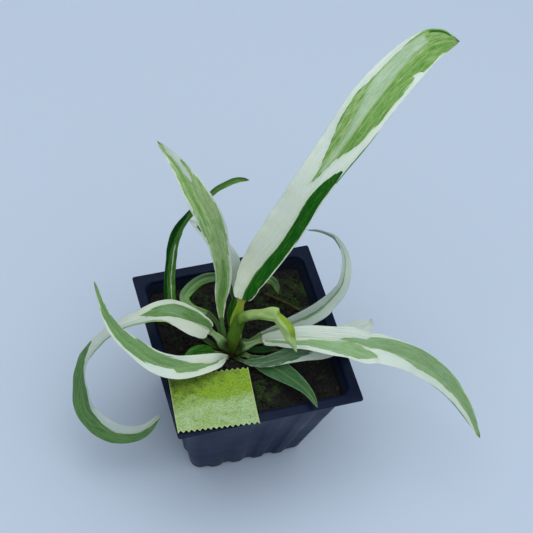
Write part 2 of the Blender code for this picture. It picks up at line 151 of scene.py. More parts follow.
# name: (seat on the crown as heading and height, stalk rows, fold, wave, rows (x, y, z, width, turn))
LEAVES = {
    "leaf_tall": ((55, 70.0), 4, 14, 0.5, (
        (-6.2, 1.2, 75.5, 3.8, 0), (-4.4, 4.7, 83, 5.8, 0), (-1.6, 8.9, 92, 3.6, 0), (1, 12, 98, 10.5, 0),
        (6, 16, 106, 15.5, -3), (19, 22, 127, 18.0, -6), (33, 30, 147, 17.2, -8), (51, 41, 164, 20.0, -6),
        (62, 49, 172, 20.5, -4), (77, 59, 178, 19.5, -4), (94, 69, 181, 16.0, -8),
        (105, 74, 179, 11.5, -12), (115, 76, 174, 1.2, -16))),
    "leaf_curl": ((165, 71.3), 3, 12, 0.4, (
        (-13, 1.6, 73.2, 4.2, 0), (-17, 4, 77, 3.2, 0), (-23, 6, 82, 11.5, 5), (-32, 11, 87, 12.0, 15),
        (-39, 13, 88, 11.5, 35), (-49, 13, 86, 11.0, 56), (-60, 14, 80, 11.0, 60), (-69, 13, 71, 11.0, 66),
        (-76, 10, 61, 11.5, 62), (-79, 3, 51, 12.0, 45), (-78, -6, 41, 11.5, 30), (-68, -15, 33, 11.0, 16),
        (-54, -17, 30, 7.0, 8), (-42, -11, 33, 1.2, 0))),
    "leaf_sweep": ((235, 66.5), 1, 14, 0.4, (
        (-12.2, -7.6, 70.6, 3.6, 0), (-19, -12, 77, 7.5, 8), (-29, -14, 80, 10.0, 12),
        (-39, -14, 82, 11.0, 14), (-48, -10, 84, 10.5, 16), (-56, -3, 88, 9.0, 20), (-63, 4, 93, 6.5, 25),
        (-67, 13, 99, 3.8, 28), (-69, 24, 108, 1.2, 30))),
    "leaf_upright": ((128, 70.4), 3, 20, 0.4, (
        (-10, 4, 73, 2.4, 0), (-11, 7, 81, 2.2, 0), (-11, 12, 91, 6.8, 25), (-10, 16, 105, 7.8, 22),
        (-12, 20, 121, 9.2, 16), (-15, 24, 135, 11.5, 8), (-21, 31, 149, 11.5, 4), (-28, 41, 161, 7.2, 0),
        (-36, 50, 170, 1.2, 0))),
    "leaf_hook": ((150, 65.0), 3, 18, 0.3, (
        (-16, 2, 68, 2.6, 0), (-23, 8, 73, 2.8, 0), (-30, 15, 79, 3.2, 20), (-33, 20, 85, 5.6, 35),
        (-33, 25, 93, 6.4, 42), (-32, 29, 104, 7.2, 48), (-30, 33, 118, 6.6, 50), (-26, 35, 127, 5.4, 55),
        (-18, 37, 136, 5.0, 58), (-8, 40, 142, 4.0, 60), (0, 41, 144, 3.0, 55), (6, 41, 142, 1.2, 50))),
    "leaf_arch": ((118, 65.0), 3, 16, 0.3, (
        (-11, 10, 71, 2.4, 0), (-15, 15, 75, 2.6, 0), (-21, 18, 77, 3.0, 10), (-24, 22, 77, 4.2, 20),
        (-24, 26, 78, 5.4, 30), (-18, 30, 80, 5.6, 35), (-12, 31, 82, 5.6, 38), (-5, 29, 84, 5.4, 45),
        (3, 27, 85, 5.0, 50), (12, 25, 84, 4.6, 45), (18, 24, 81, 4.4, 35), (21, 23, 77, 3.8, 25),
        (22, 20, 73, 1.2, 15))),
    "leaf_ring": ((18, 67.4), 3, 16, 0.3, (
        (2, -1, 69, 2.6, 0), (7, -1, 73, 3.0, 0), (14, -2, 78, 3.4, 0), (20, -3, 82, 6.5, 10),
        (27, -4, 87, 8.5, 18), (33, -4, 92, 9.0, 22), (39, -2, 97, 8.6, 32), (44, 1, 101, 8.0, 38),
        (47, 6, 104, 7.2, 46), (49, 12, 105, 6.4, 54), (50, 18, 104, 5.4, 62), (50, 25, 102, 5.2, 70),
        (49, 30, 100, 4.2, 74), (45, 36, 97, 3.0, 76), (40, 40, 94, 1.2, 76))),
    "leaf_broad": ((345, 69.4), 3, 14, 0.5, (
        (-1, -4, 71, 4.2, 0), (5, -6, 77, 2.5, 0), (14, -11, 84, 8.5, -5), (24, -16, 89, 11.5, -8),
        (34, -22, 92, 13.5, -10), (41, -25, 93, 14.5, -10), (48, -29, 92, 14.5, -10),
        (55, -30, 90, 13.8, -10), (67, -33, 84, 13.0, -10), (75, -36, 79, 12.6, -10),
        (83, -40, 73, 11.6, -10), (89, -44, 67, 10.4, -10), (94, -49, 61, 8.6, -10), (98, -55, 55, 6.2, -8),
        (101, -60, 49, 3.6, -6), (103, -65, 45, 1.2, -5))),
    "leaf_under": ((287, 65.2), 2, 12, 0.3, (
        (-4, -10, 68, 1.6, 0), (0, -14, 71.5, 3.0, -8), (6, -16, 74, 5.4, -10), (13, -17, 77, 7.0, -12),
        (22, -17, 79, 10.0, -15), (31, -17, 80, 13.0, -15), (40, -16, 81, 12.5, -15),
        (48, -14, 82, 10.0, -15), (54, -13, 83, 8.0, -10), (57, -12, 84, 3.6, -10),
        (58, -10, 84.5, 1.2, -10))),
    "leaf_front": ((320, 66.0), 2, 14, 0.3, (
        (0, -8, 67, 2.4, -10), (4, -13.5, 69, 7.0, -12), (8.5, -18.3, 71, 10.0, -15),
        (13.3, -24.2, 72, 8.8, -15), (17.4, -31.5, 74, 6.2, -12), (19.8, -38.7, 75.9, 3.8, -10),
        (20.8, -46.2, 77, 1.2, -8))),
    "leaf_left_low": ((196, 65.6), 2, 16, 0.2, (
        (-16, -2, 67, 2.2, 0), (-20, -2, 69.4, 6.2, 10), (-26, -4, 71.8, 8.2, 15),
        (-30.6, -7, 72.6, 5.6, 15), (-34.8, -10.6, 73, 1.2, 15))),
    "leaf_right_low": ((350, 66.0), 1, 14, 0.2, (
        (1, -4, 67, 2.2, -20), (6, -6, 68, 3.6, -20), (11, -7, 69, 2.8, -20), (14, -9, 69, 1.2, -20))),
    "leaf_inner": ((80, 67.0), 2, 20, 0.2, (
        (-6, 6, 73, 2.0, 0), (-6, 9, 79, 3.6, 10), (-5, 11, 85, 3.6, 10), (-3, 13, 91, 1.2, 10))),
    "leaf_behind": ((45, 66.0), 2, 16, 0.3, (
        (-1, 10, 74, 2.6, 0), (-2, 15, 83, 3.0, 0), (-3, 19, 91, 6.5, 5), (-4, 24, 101, 10.0, 5),
        (-8, 29, 109, 9.0, 5), (-13, 35, 113, 6.0, 5), (-20, 43, 116, 1.2, 5))),
    "leaf_new": ((90, 74.9), 99, 0, 0.0, (
        (-7, -1, 78, 2.4, 0), (-5, 1, 84, 2.8, 0), (-4, 1, 89, 3.8, 0), (-2, -1, 94, 4.8, 0),
        (1, -4, 99, 5.2, 0), (5, -7, 102, 5.2, 0), (9, -10, 103, 5.0, 0), (12, -16, 102, 4.2, 0),
        (13, -20, 99, 3.2, 0), (15, -25, 94, 1.2, 0))),
}

# Green parts of each blade: (depth of green 0 to 1, raggedness, rows (percent, left, right))
WHOLE = ((1, -1.3, 1.3), (101, -1.3, 1.3))
PATCHES = {
    "leaf_tall": (
        (1.0, 0.25, ((8, 0.0, 0.0), (9.5, -0.05, 0.8), (14, -0.03, 0.93), (22, 0.17, 0.94),
                     (29, 0.3, 0.93), (36, 0.27, 0.93), (43, 0.21, 0.94), (47, 0.33, 0.95),
                     (50, 0.5, 0.93), (53, 0.75, 0.86))),
        (0.3, 0.7, ((46, -0.14, -0.12), (49, -0.15, 0.0), (53, -0.3, 0.15), (60, -0.66, 0.62),
                    (67, -0.8, 0.8), (75, -0.7, 0.84), (79, -0.7, 0.8), (81.4, -0.75, 0.6),
                    (82.4, -0.75, 0.6), (83, -0.76, 0.88), (87, -0.85, 0.9), (92, -1.1, 0.95),
                    (96, -1.3, 1.3), (101, -1.3, 1.3))),
        (0.45, 0.5, ((52, 0.05, 0.1), (60, 0.14, 0.6), (67, 0.14, 0.8), (75, 0.1, 0.8), (80, -0.02, 0.6),
                     (84, 0.1, 0.8), (92, 0.2, 0.9), (98, 0.2, 1.0))),
        (1.0, 0.3, ((91.5, -0.86, -0.78), (94, -0.86, -0.7), (97, -0.75, -0.55))),
        (1.0, 0.1, ((50, 0.95, 1.3), (58, 0.94, 1.3), (65, 0.99, 1.3)))),
    "leaf_curl": (
        (0.66, 0.3, ((4.5, 0.3, 0.8), (7, 0.24, 0.82), (10, 0.16, 0.84), (13, 0.04, 0.84), (16, -0.12, 0.8),
                     (20, -0.36, 0.72), (23, -0.5, 0.6), (26, -0.4, 0.5), (28, 0.0, 0.4), (30, 0.3, 0.35))),
        (0.3, 0.3, ((20, -1.3, -0.95), (24, -1.3, -0.82), (30, -1.3, -0.8), (36, -1.3, -0.8),
                     (44, -1.3, -0.8), (50, -1.3, -0.9))),
        (0.74, 0.4, ((49, 0.8, 1.3), (52, 0.3, 1.3), (55, 0.0, 1.3), (58, -0.7, 1.3), (62, -0.8, 1.3),
                     (66, -0.72, 1.3), (73, -0.47, 1.3), (79, -0.14, 1.3), (83, 0.0, 1.3), (88, 0.0, 1.3),
                     (93, -0.05, 1.3), (97, 0.35, 1.3), (99, 0.9, 1.1)))),
    "leaf_sweep": (
        (0.6, 0.5, ((0.5, -0.3, 0.05), (6, -0.2, 0.04), (12, -0.17, -0.02), (17, -0.27, -0.12),
                    (23, -0.4, 0.06), (29, -0.46, 0.33), (35, -0.42, 0.62), (38.2, -0.38, 0.75),
                    (38.8, -0.1, 0.76), (46, -0.12, 0.88), (51, -0.38, 0.92), (58, -0.6, 0.93),
                    (65, -0.66, 0.93), (72, -0.58, 0.93), (77, -0.56, 0.92), (84, -0.6, 0.92),
                    (92, -0.8, 0.95), (101, -1.3, 1.3))),
        (0.65, 0.6, ((60, 0.0, 0.1), (70, 0.0, 0.5), (80, 0.1, 0.6), (90, 0.0, 0.5)))),
    "leaf_upright": (
        (0.17, 0.7, ((4, -0.9, 0.8), (40, -0.9, 0.76), (60, -0.86, 0.84), (72, -0.82, 0.84),
                     (84, -0.8, -0.04), (92, -0.7, 0.0), (98, -0.5, 0.2), (101, -1.0, 1.0))),
        (0.08, 0.9, ((62, -0.2, 0.84), (68, 0.0, 0.84), (76, 0.2, 0.82), (84, 0.45, 0.78), (89, 0.66, 0.76))),
        (0.55, 0.5, ((2, -0.8, 0.7), (14, -0.6, 0.6), (26, -0.3, 0.5), (40, 0.1, 0.3))),
        (0.45, 0.4, ((60, -0.5, -0.4), (70, -0.45, -0.25), (84, -0.4, -0.1), (97, -0.2, 0.1)))),
    "leaf_hook": (
        (0.74, 0.5, ((4, -1.3, 0.3), (40, -1.3, 0.33), (55, -1.3, 0.38), (60, -1.3, 1.3), (101, -1.3, 1.3))),
        (1.15, 0.4, ((4, -1.3, -0.45), (50, -1.3, -0.4), (58, -1.3, 0.2), (68, -1.3, 0.4), (80, -1.3, 0.0),
                     (101, -1.3, -0.4))),
        (0.75, 0.4, ((4, 0.39, 1.3), (40, 0.42, 1.3), (54, 0.48, 1.3), (60, 0.6, 1.3), (68, 0.3, 0.7),
                     (90, 0.1, 0.7), (101, 0.0, 0.8))),
        (0.6, 0.4, ((70, 0.2, 0.5), (76, -0.5, 1.0), (84, -0.8, 1.0), (101, -1.0, 1.0)))),
    "leaf_arch": ((0.54, 0.6, ((2, -1.3, 1.3), (101, -1.3, 1.3))),),
    "leaf_ring": ((0.6, 0.35, ((6, -0.3, 0.25), (20, -0.16, 0.2), (40, -0.14, 0.18), (60, -0.12, 0.14),
                               (80, -0.08, 0.08), (88, 0.0, 0.02))),),
    "leaf_broad": (
        (0.5, 0.35, ((9, 0.05, 0.3), (12, 0.2, 0.48), (16, 0.3, 0.57), (20, 0.26, 0.65), (27, 0.1, 0.68),
                     (32, 0.0, 0.73), (36, -0.05, 0.88), (41, -0.05, 0.84), (44, 0.12, 0.62),
                     (46.5, 0.45, 0.66))),
        (0.5, 0.4, ((33, -0.12, -0.1), (39, -0.42, -0.1), (43, -0.66, -0.08), (51, -0.88, 0.02),
                    (57, -0.94, 0.2), (63, -0.96, 0.45), (70, -0.95, 0.4), (76, -0.93, 0.38),
                    (83, -0.88, 0.3), (90, -0.84, 0.2), (95, -0.85, 0.4), (101, -1.3, 1.3))),
        (0.95, 0.1, ((70, 0.98, 1.3), (80, 0.9, 1.3), (92, 0.86, 1.3), (98, 0.95, 1.3)))),
    # Painted shade: the under leaf stands in shade, and its green is set this deep for it
    "leaf_under": ((1.0, 0.9, ((2, -1.3, 1.3), (20, -1.3, 0.95), (40, -1.3, 0.8), (55, -1.3, 0.2),
                                (64, -1.3, -0.5), (70, -1.3, -1.1))),),
    "leaf_front": ((1.04, 0.2, WHOLE),),
    "leaf_left_low": ((0.92, 0.6, WHOLE),),
    # Painted shade: these two low leaves stand in shadow, and their green is set this deep for it
    "leaf_right_low": ((1.3, 0.2, WHOLE),),
    "leaf_inner": ((0.9, 0.3, WHOLE),),
    "leaf_behind": ((0.9, 0.4, ((20, -1.3, 0.0), (36, -1.3, -0.2), (52, -1.3, -0.4), (60, -1.3, -1.1))),
                    (0.95, 0.2, ((86, -0.4, 0.3), (90, -0.5, 0.5), (93, -0.3, 0.3)))),
    "leaf_new": ((0.1, 0.1, ((0, -3.0, 3.0), (101, -3.0, 3.0))),),
}

# Silvery flecks on the green: (strength, rows (percent, left, right)). On the tall leaf they are its own
# silvering; near the curled leaf's foot they are a painted highlight; elsewhere they grey the green
SHEEN_WHOLE = ((0, -1.2, 1.2), (101, -1.2, 1.2))
SHEEN = {
    "leaf_tall": (0.75, ((50, -0.1, 0.1), (55, -0.08, 0.16), (60, -0.14, 0.12), (66, -0.3, 0.12),
                         (72, -0.58, 0.1), (76, -0.68, 0.06), (82, -0.72, -0.08), (90, -0.78, -0.2))),
    # Painted highlight near the curled leaf's foot
    "leaf_curl": (0.22, ((17, -0.1, 0.6), (21, -0.2, 0.5), (24, 0.1, 0.4))),
    "leaf_upright": (0.06, ((0, -0.9, 0.9), (30, -0.9, 0.9), (60, -0.8, 0.9), (100, -1.0, 1.0))),
    "leaf_arch": (0.3, ((0, -1.2, 0.6), (101, -1.2, 0.6))),
    "leaf_front": (0.12, SHEEN_WHOLE),
    "leaf_broad": (0.4, SHEEN_WHOLE),
    "leaf_sweep": (0.12, SHEEN_WHOLE),
}

# Places of the midrib that aren't the middle: rows (percent, share)
MIDRIBS = {"leaf_tall": ((0, 0), (12, -0.02), (20, 0.14), (29, 0.3), (36, 0.27), (43, 0.2), (52, 0.06),
                         (60, 0))}

# Millimetres that a blade's base reaches back beside its joint, and that it takes to its full width
LOBES = {"leaf_tall": 0.9, "leaf_curl": 0.8, "leaf_broad": 0.6}
BASES = {"leaf_tall": 8.0, "leaf_curl": 6.0, "leaf_broad": 7.0, "leaf_sweep": 13.0, "leaf_upright": 16.0,
         "leaf_under": 14.0, "leaf_front": 10.0, "leaf_ring": 9.0, "leaf_hook": 10.0, "leaf_behind": 10.0}

# How slowly a blade's foot widens: 1 is the usual way, and more is more pointed
POINTED = {"leaf_sweep": 1.5}

# Leaves without a pale rim and midrib, and painted shade: how far the upper side of others that stand in
# shade is greyed towards the duller skin of their lower side
PLAIN = ("leaf_left_low", "leaf_right_low", "leaf_inner", "leaf_arch", "leaf_hook")
PAINTED_SHADE = {"leaf_ring": 1.1, "leaf_curl": 0.4, "leaf_sweep": 0.3, "leaf_under": 0.7, "leaf_behind": 0.3}
# Warmth of the white beside the joint
WARMTH = {"leaf_ring": 0.0, "leaf_broad": 0.25, "leaf_under": 0.0}

# Width of the rolled leaf at percents of its length, and the share of it where its corner stands up
NEW_LEAF_WIDTHS = ((0, 4.0), (10, 5.6), (22, 6.0), (34, 5.6), (44, 4.8), (56, 4.4), (66, 5.0), (71, 4.8),
                   (77, 6.0), (84, 6.2), (90, 4.8), (95, 2.8), (98, 1.4), (100, 0.7))
NEW_LEAF_CORNER = 0.7
NEW_LEAF_COLUMNS = 72

# Tint of the stalk, from 0, dark olive, over grey-green to 1, yellow olive, and brown of the tip
STALK_TINTS = {"leaf_tall": 1.0, "leaf_curl": 0.55, "leaf_broad": 0.55, "leaf_upright": 0.3,
               "leaf_under": 0.2, "leaf_sweep": 0.2, "leaf_hook": 0.08, "leaf_arch": 0.2}
BROWN_TIPS = {"leaf_tall": 0.9, "leaf_broad": 0.8, "leaf_hook": 0.7}

# Tape
TAPE_WIDTH = 38.3
TAPE_DEPTH = 31.0
TAPE_CENTRE = (-24.2, -29.4)
TAPE_TURN = -5.5
TAPE_TEETH = 15
TOOTH_POINTS = 16
TOOTH_DEPTH = 1.3
TAPE_ROWS = 90
TAPE_LIFT = 0.9
TAPE_SWELL = 0.22
TAPE_BELOW = 0.1

# Camera, solved on the pot's rim and base
CAMERA_AZIMUTH = -25.5
CAMERA_ELEVATION = 55.86
CAMERA_ROLL = 11.03
CAMERA_DISTANCE = 762.8
CAMERA_TARGET = (21.0, 36.9, 72.0)
CAMERA_LENS = 104.66


# Shared helpers


def linear(hex_colour):
    """Turn an sRGB hex colour into linear red, green and blue."""
    parts = [int(hex_colour[i:i + 2], 16) / 255 for i in (1, 3, 5)]
    return tuple(p / 12.92 if p <= 0.04045 else ((p + 0.055) / 1.055) ** 2.4 for p in parts)


def add(tree, kind, inputs=(), **settings):
    """Add a shader node of a kind. Inputs map a socket's name or number to a value, a socket or a node."""
    node = tree.nodes.new("ShaderNode" + kind)
    for key, value in settings.items():
        setattr(node, key, value)
    for key, value in dict(inputs).items():
        by_name = (socket for socket in node.inputs if socket.enabled and socket.name == key)
        socket = node.inputs[key] if isinstance(key, int) else next(by_name)
        if isinstance(value, bpy.types.Node):
            value = next(output for output in value.outputs if output.enabled)
        if isinstance(value, bpy.types.NodeSocket):
            tree.links.new(value, socket)
        elif socket.type == "RGBA" and len(value) == 3:
            socket.default_value = (*value, 1.0)
        else:
            socket.default_value = value
    return node


def new_material(name, roughness, ior=1.45):
    """A Principled material and its node tree, with the values that are the same all over."""
    material = bpy.data.materials.new(name)
    material.use_nodes = True
    tree = material.node_tree
    shader = tree.nodes["Principled BSDF"]
    shader.inputs["Roughness"].default_value = roughness
    shader.inputs["IOR"].default_value = ior
    return material, tree, shader


def colour_ramp(tree, factor, stops):
    """Colour ramp with the given stops: pairs of a place from 0 to 1 and a colour."""
    ramp = add(tree, "ValToRGB", {0: factor})
    elements = ramp.color_ramp.elements
    elements.remove(elements[1])
    elements[0].position = stops[0][0]
    elements[0].color = (*stops[0][1], 1.0)
    for position, colour in stops[1:]:
        elements.new(position).color = (*colour, 1.0)
    return ramp


def finish_material(tree, shader, colour, roughness=None, height=None):
    """Link colour and roughness to the shader, and a relief given in millimetres."""
    tree.links.new(next(o for o in colour.outputs if o.enabled), shader.inputs["Base Color"])
    if roughness:
        tree.links.new(next(o for o in roughness.outputs if o.enabled), shader.inputs["Roughness"])
    if height:
        bump = add(tree, "Bump", {"Height": height, "Strength": 1.0, "Distance": MM})
        tree.links.new(bump.outputs[0], shader.inputs["Normal"])


def add_piece(name, points, faces, material, stands_for=None, attributes=None):
    """Put points in millimetres and lists of faces into a smooth mesh that rides on the plant."""
    mesh = bpy.data.meshes.new(name)
    corners = (np.asarray(points, float) * MM).tolist()
    mesh.from_pydata(corners, [], [face for part in faces for face in part.tolist()])
    for key, values in (attributes or {}).items():
        layer = mesh.attributes.new(key, "FLOAT_VECTOR", "POINT")
        layer.data.foreach_set("vector", np.asarray(values, np.float32).ravel())
    mesh.materials.append(material)
    mesh.shade_smooth()
    piece = bpy.data.objects.new(name, mesh)
    bpy.context.scene.collection.objects.link(piece)
    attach(piece, BODY)
    if stands_for:
        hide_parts(stands_for)
    return piece


def grid_faces(rows, columns, closed=True):
    """Quads of a grid of points, row by row, joined round its columns if closed."""
    r = np.arange(rows - 1)[:, None] * columns
    c = np.arange(columns if closed else columns - 1)
    n = (c + 1) % columns
    return np.stack((r + c, r + n, r + n + columns, r + c + columns), -1).reshape(-1, 4)


def end_fans(rows, columns):
    """Triangles that close both ends of a closed grid on two poles that follow its points."""
    c = np.arange(columns)
    n = (c + 1) % columns
    foot, tip = np.full(columns, rows * columns), np.full(columns, rows * columns + 1)
    last = (rows - 1) * columns
    return np.concatenate((np.stack((n, c, foot), 1), np.stack((last + c, last + n, tip), 1)))


def closed_faces(rows, columns):
    """All the faces of a closed grid with a pole at each end."""
    return [grid_faces(rows, columns), end_fans(rows, columns)]


def copied_faces(count, size, rows, columns):
    """The faces of many small closed grids in one mesh, each with the given number of points."""
    start = (np.arange(count) * size)[:, None, None]
    return [(part + start).reshape(-1, part.shape[1]) for part in closed_faces(rows, columns)]


def round_angles(count):
    """Evenly spaced angles, once round."""
    return np.linspace(0, 2 * math.pi, count, endpoint=False)


def smooth_step(x, low, high):
    """0 below low, 1 above high, and an S curve between."""
    t = np.clip((x - low) / (high - low), 0, 1)
    return t * t * (3 - 2 * t)


def waves(x, y, size, seed, count=20):
    """Rolling noise from -1 to 1: a mean of sine waves about size long, in random directions."""
    rng = np.random.default_rng(seed)
    total = 0.0
    for heading, stretch, phase in zip(rng.uniform(0, math.pi, count), rng.uniform(0.7, 1.5, count),
                                       rng.uniform(0, 2 * math.pi, count)):
        pitch = 2 * math.pi * stretch / size
        total = total + np.sin(pitch * (x * math.cos(heading) + y * math.sin(heading)) + phase)
    return total / math.sqrt(count)


def unit(vectors):
    """The same directions with length one."""
    return vectors / np.linalg.norm(vectors, axis=-1, keepdims=True)


def smooth_rows(rows, count):
    """Catmull-Rom curve through the rows, read at evenly spaced lengths of its first three columns."""
    rows = np.asarray(rows, float)
    padded = np.vstack((2 * rows[0] - rows[1], rows, 2 * rows[-1] - rows[-2]))
    t = np.linspace(0, 1, 64, endpoint=False)[None, :, None]
    a, b, c, d = (padded[i:len(padded) - 3 + i][:, None] for i in range(4))
    bend = 2 * a - 5 * b + 4 * c - d
    twist = 3 * b - a - 3 * c + d
    fine = 0.5 * (2 * b + (c - a) * t + bend * t ** 2 + twist * t ** 3)
    fine = np.vstack((fine.reshape(-1, rows.shape[1]), rows[-1:]))
    length = np.insert(np.cumsum(np.linalg.norm(np.diff(fine[:, :3], axis=0), axis=1)), 0, 0.0)
    wanted = np.linspace(0, length[-1], count)
    return np.column_stack([np.interp(wanted, length, column) for column in fine.T]), length[-1]


# Settings

COLOUR = {"subtype": "COLOR", "size": 3, "min": 0, "max": 1}
DISTANCE = {"subtype": "DISTANCE", "unit": "LENGTH"}


class PotSettings(bpy.types.PropertyGroup):
    """Sizes and colours of the nursery pot."""

    colour: FloatVectorProperty(name="Plastic", description="Colour of the pot's plastic",
                                default=linear("#09122a"), **COLOUR)
    # Dust outside, and painted light on the inner walls: both use this colour
    dust_and_wall_light: FloatVectorProperty(name="Dust", description="Colour of the dust and lime on the plastic",
                              default=linear("#646a74"), **COLOUR)
    rib_height: FloatProperty(name="Rib height", description="How far the ribs stand proud at the base",
                              default=1.3 * MM, min=0, max=3 * MM, **DISTANCE)


class SoilSettings(bpy.types.PropertyGroup):
    """Amounts and colours of the soil's crumbs and moss."""

    dark: FloatVectorProperty(name="Damp peat", description="Colour of the damp peat",
                              default=linear("#0a0b08"), **COLOUR)
    bark: FloatVectorProperty(name="Bark", description="Colour of dry bark bits",
                              default=linear("#2e2a19"), **COLOUR)
    moss: FloatVectorProperty(name="Moss", description="Colour of the moss's tips",
                              default=linear("#42671a"), **COLOUR)
    crumbs: IntProperty(name="Crumbs", description="Number of soil crumbs", default=1300, min=0, max=2500)
    shoots: IntProperty(name="Moss shoots", description="Number of moss shoots tried", default=26000,
                        min=0, max=60000)


class LeafSettings(bpy.types.PropertyGroup):
    """Sizes and colours of the leaves."""

    cream: FloatVectorProperty(name="Cream", description="Warm tone of the white parts",
                               default=linear("#d8e1c6"), **COLOUR)
    chalk: FloatVectorProperty(name="Chalk", description="Cool tone of the white parts",
                               default=linear("#d6e6e2"), **COLOUR)
    pale: FloatVectorProperty(name="Pale green", description="Lightest green",
                              default=linear("#a8c486"), **COLOUR)
    middle: FloatVectorProperty(name="Middle green", description="Green of most patches",
                                default=linear("#6a9a45"), **COLOUR)
    deep: FloatVectorProperty(name="Deep green", description="Green of the oldest tissue",
                              default=linear("#0d5806"), **COLOUR)
    stalk: FloatVectorProperty(name="Stalk", description="Olive of the tall leaf's stalk",
                               default=linear("#8aa632"), **COLOUR)
    thickness: FloatProperty(name="Blade thickness", description="Thickness of a blade beside its midrib",
                             default=0.5 * MM, min=0.2 * MM, max=0.7 * MM, **DISTANCE)
    vein_pitch: FloatProperty(name="Vein spacing", description="Distance between the fine lengthwise veins",
                              default=0.9 * MM, min=0.4 * MM, max=3 * MM, **DISTANCE)


class TapeSettings(bpy.types.PropertyGroup):
    """Colours of the paper tape."""

    light: FloatVectorProperty(name="Pale wash", description="Colour of the tape's chalky front",
                               default=linear("#adca96"), **COLOUR)
    lime: FloatVectorProperty(name="Lime wash", description="Colour of the tape where the wash is full",
                              default=linear("#84a826"), **COLOUR)


class StageSettings(bpy.types.PropertyGroup):
    """Floor and light."""

    floor: FloatVectorProperty(name="Floor", description="Colour of the floor",
                               default=linear("#c2d2e2"), **COLOUR)
    power: FloatProperty(name="Light power", description="Power of the overhead soft light",
                         subtype="POWER", unit="POWER", default=9.6, min=0, max=100)
    sky: FloatProperty(name="Sky strength", description="Strength of the even light all round",
                       default=0.32, min=0, max=5)


# Materials


def pot_plastic(settings):
    """Moulded polypropylene: black with a blue cast, satin, finely grained, dusty where it is level, with
    painted light on its inner walls and a painted reflection on its outer walls.
    """
    material, tree, shader = new_material("moulded_polypropylene", 0.42, 1.49)
    shader.inputs["Specular IOR Level"].default_value = 0.14
    shader.inputs["Specular Tint"].default_value = (0.7, 0.86, 1.0, 1.0)
    place = add(tree, "TexCoord").outputs["Object"]
    # Dust and dried water in spots some 3 mm wide
    spots = add(tree, "TexNoise", {"Vector": place, "Scale": 330.0, "Detail": 6.0, "Roughness": 0.7})
    clouds = add(tree, "TexNoise", {"Vector": place, "Scale": 45.0, "Detail": 3.0})
    normal = add(tree, "NewGeometry").outputs["Normal"]
    level = add(tree, "SeparateXYZ", {0: normal})
    upward = add(tree, "MapRange", {"Value": level.outputs[2], "From Min": 0.2, "To Max": 0.5})
    patchy = add(tree, "Math", {0: spots, 1: clouds}, operation="MULTIPLY")
    amount = add(tree, "MapRange", {"Value": patchy, "From Min": 0.22, "From Max": 0.5, "To Max": 0.16})
    dusty = add(tree, "Math", {0: upward, 1: 0.6, 2: amount}, operation="MULTIPLY_ADD")
    outer = add(tree, "Math", {0: dusty, 1: amount}, operation="MULTIPLY")
    # Painted light: the inner walls, which face the pot's middle, are mixed a little towards a pale grey-blue
    # so that they look less shaded
    facing = add(tree, "VectorMath", {0: place, 1: normal}, operation="DOT_PRODUCT")
    overlay = add(tree, "MapRange", {"Value": facing, "From Min": -0.026, "From Max": -0.016,
                                  "To Min": 0.12, "To Max": 0.0})
    # Dust on the outside, plus painted light on the inner walls
    share = add(tree, "Math", {0: outer, 1: overlay}, operation="ADD")
    # Painted reflection: the outer walls, but not the level rim, are mixed towards a brighter navy that
    # stands in for the grazing reflection they show
    outside = add(tree, "MapRange", {"Value": facing, "From Min": 0.01, "From Max": 0.03})
    painted_wall_reflection = add(tree, "Math", {0: upward, 1: -2.0, 2: outside}, operation="MULTIPLY_ADD", use_clamp=True)
    # The plastic's colour, with the painted reflection on the outer walls
    plastic = add(tree, "Mix", {"Factor": painted_wall_reflection, "A": tuple(settings.colour), "B": linear("#08203f")},
                  data_type="RGBA")
    colour = add(tree, "Mix", {"Factor": share, "A": plastic, "B": tuple(settings.dust_and_wall_light)}, data_type="RGBA")
    rough = add(tree, "MapRange", {"Value": clouds, "From Min": 0.3, "From Max": 0.7,
                                   "To Min": 0.3, "To Max": 0.46})
    # The mould's grain is about 0.5 mm and hardly raised
    grain = add(tree, "TexNoise", {"Vector": place, "Scale": 1900.0, "Detail": 1.0})
    drawn = add(tree, "TexNoise", {"Vector": place, "Scale": 120.0, "Detail": 1.0})
    fine = add(tree, "Math", {0: grain, 1: 0.02}, operation="MULTIPLY")
    height = add(tree, "Math", {0: drawn, 1: 0.05, 2: fine}, operation="MULTIPLY_ADD")
    finish_material(tree, shader, colour, rough, height)
    return material


def peat(settings):
    """Damp peat and composted bark: nearly black, matt, with brown fibres and a green film of moss."""
    material, tree, shader = new_material("damp_potting_mix", 0.85)
    place = add(tree, "TexCoord").outputs["Object"]
    cover = add(tree, "Attribute", attribute_name="cover")
    parts = add(tree, "SeparateXYZ", {0: cover.outputs["Vector"]})
    # Crumbs some 1.5 mm wide
    crumbs = add(tree, "TexVoronoi", {"Vector": place, "Scale": 620.0})
    mottle = add(tree, "TexNoise", {"Vector": place, "Scale": 420.0, "Detail": 6.0, "Roughness": 0.7})
    mixed = add(tree, "MapRange", {"Value": mottle, "From Min": 0.48, "From Max": 0.8, "To Max": 0.55})
    earth = add(tree, "Mix", {"Factor": mixed, "A": tuple(settings.dark), "B": tuple(settings.bark)},
                data_type="RGBA")
    overlay = add(tree, "Math", {0: mottle, 1: 0.9, 2: parts.outputs[0]}, operation="MULTIPLY_ADD")
    green = add(tree, "MapRange", {"Value": overlay, "From Min": 0.75, "From Max": 1.35, "To Max": 0.36})
    colour = add(tree, "Mix", {"Factor": green, "A": earth, "B": tuple(settings.moss)}, data_type="RGBA")
    height = add(tree, "Math", {0: crumbs.outputs["Distance"], 1: -0.5, 2: mottle}, operation="MULTIPLY_ADD")
    finish_material(tree, shader, colour, None, height)
    return material


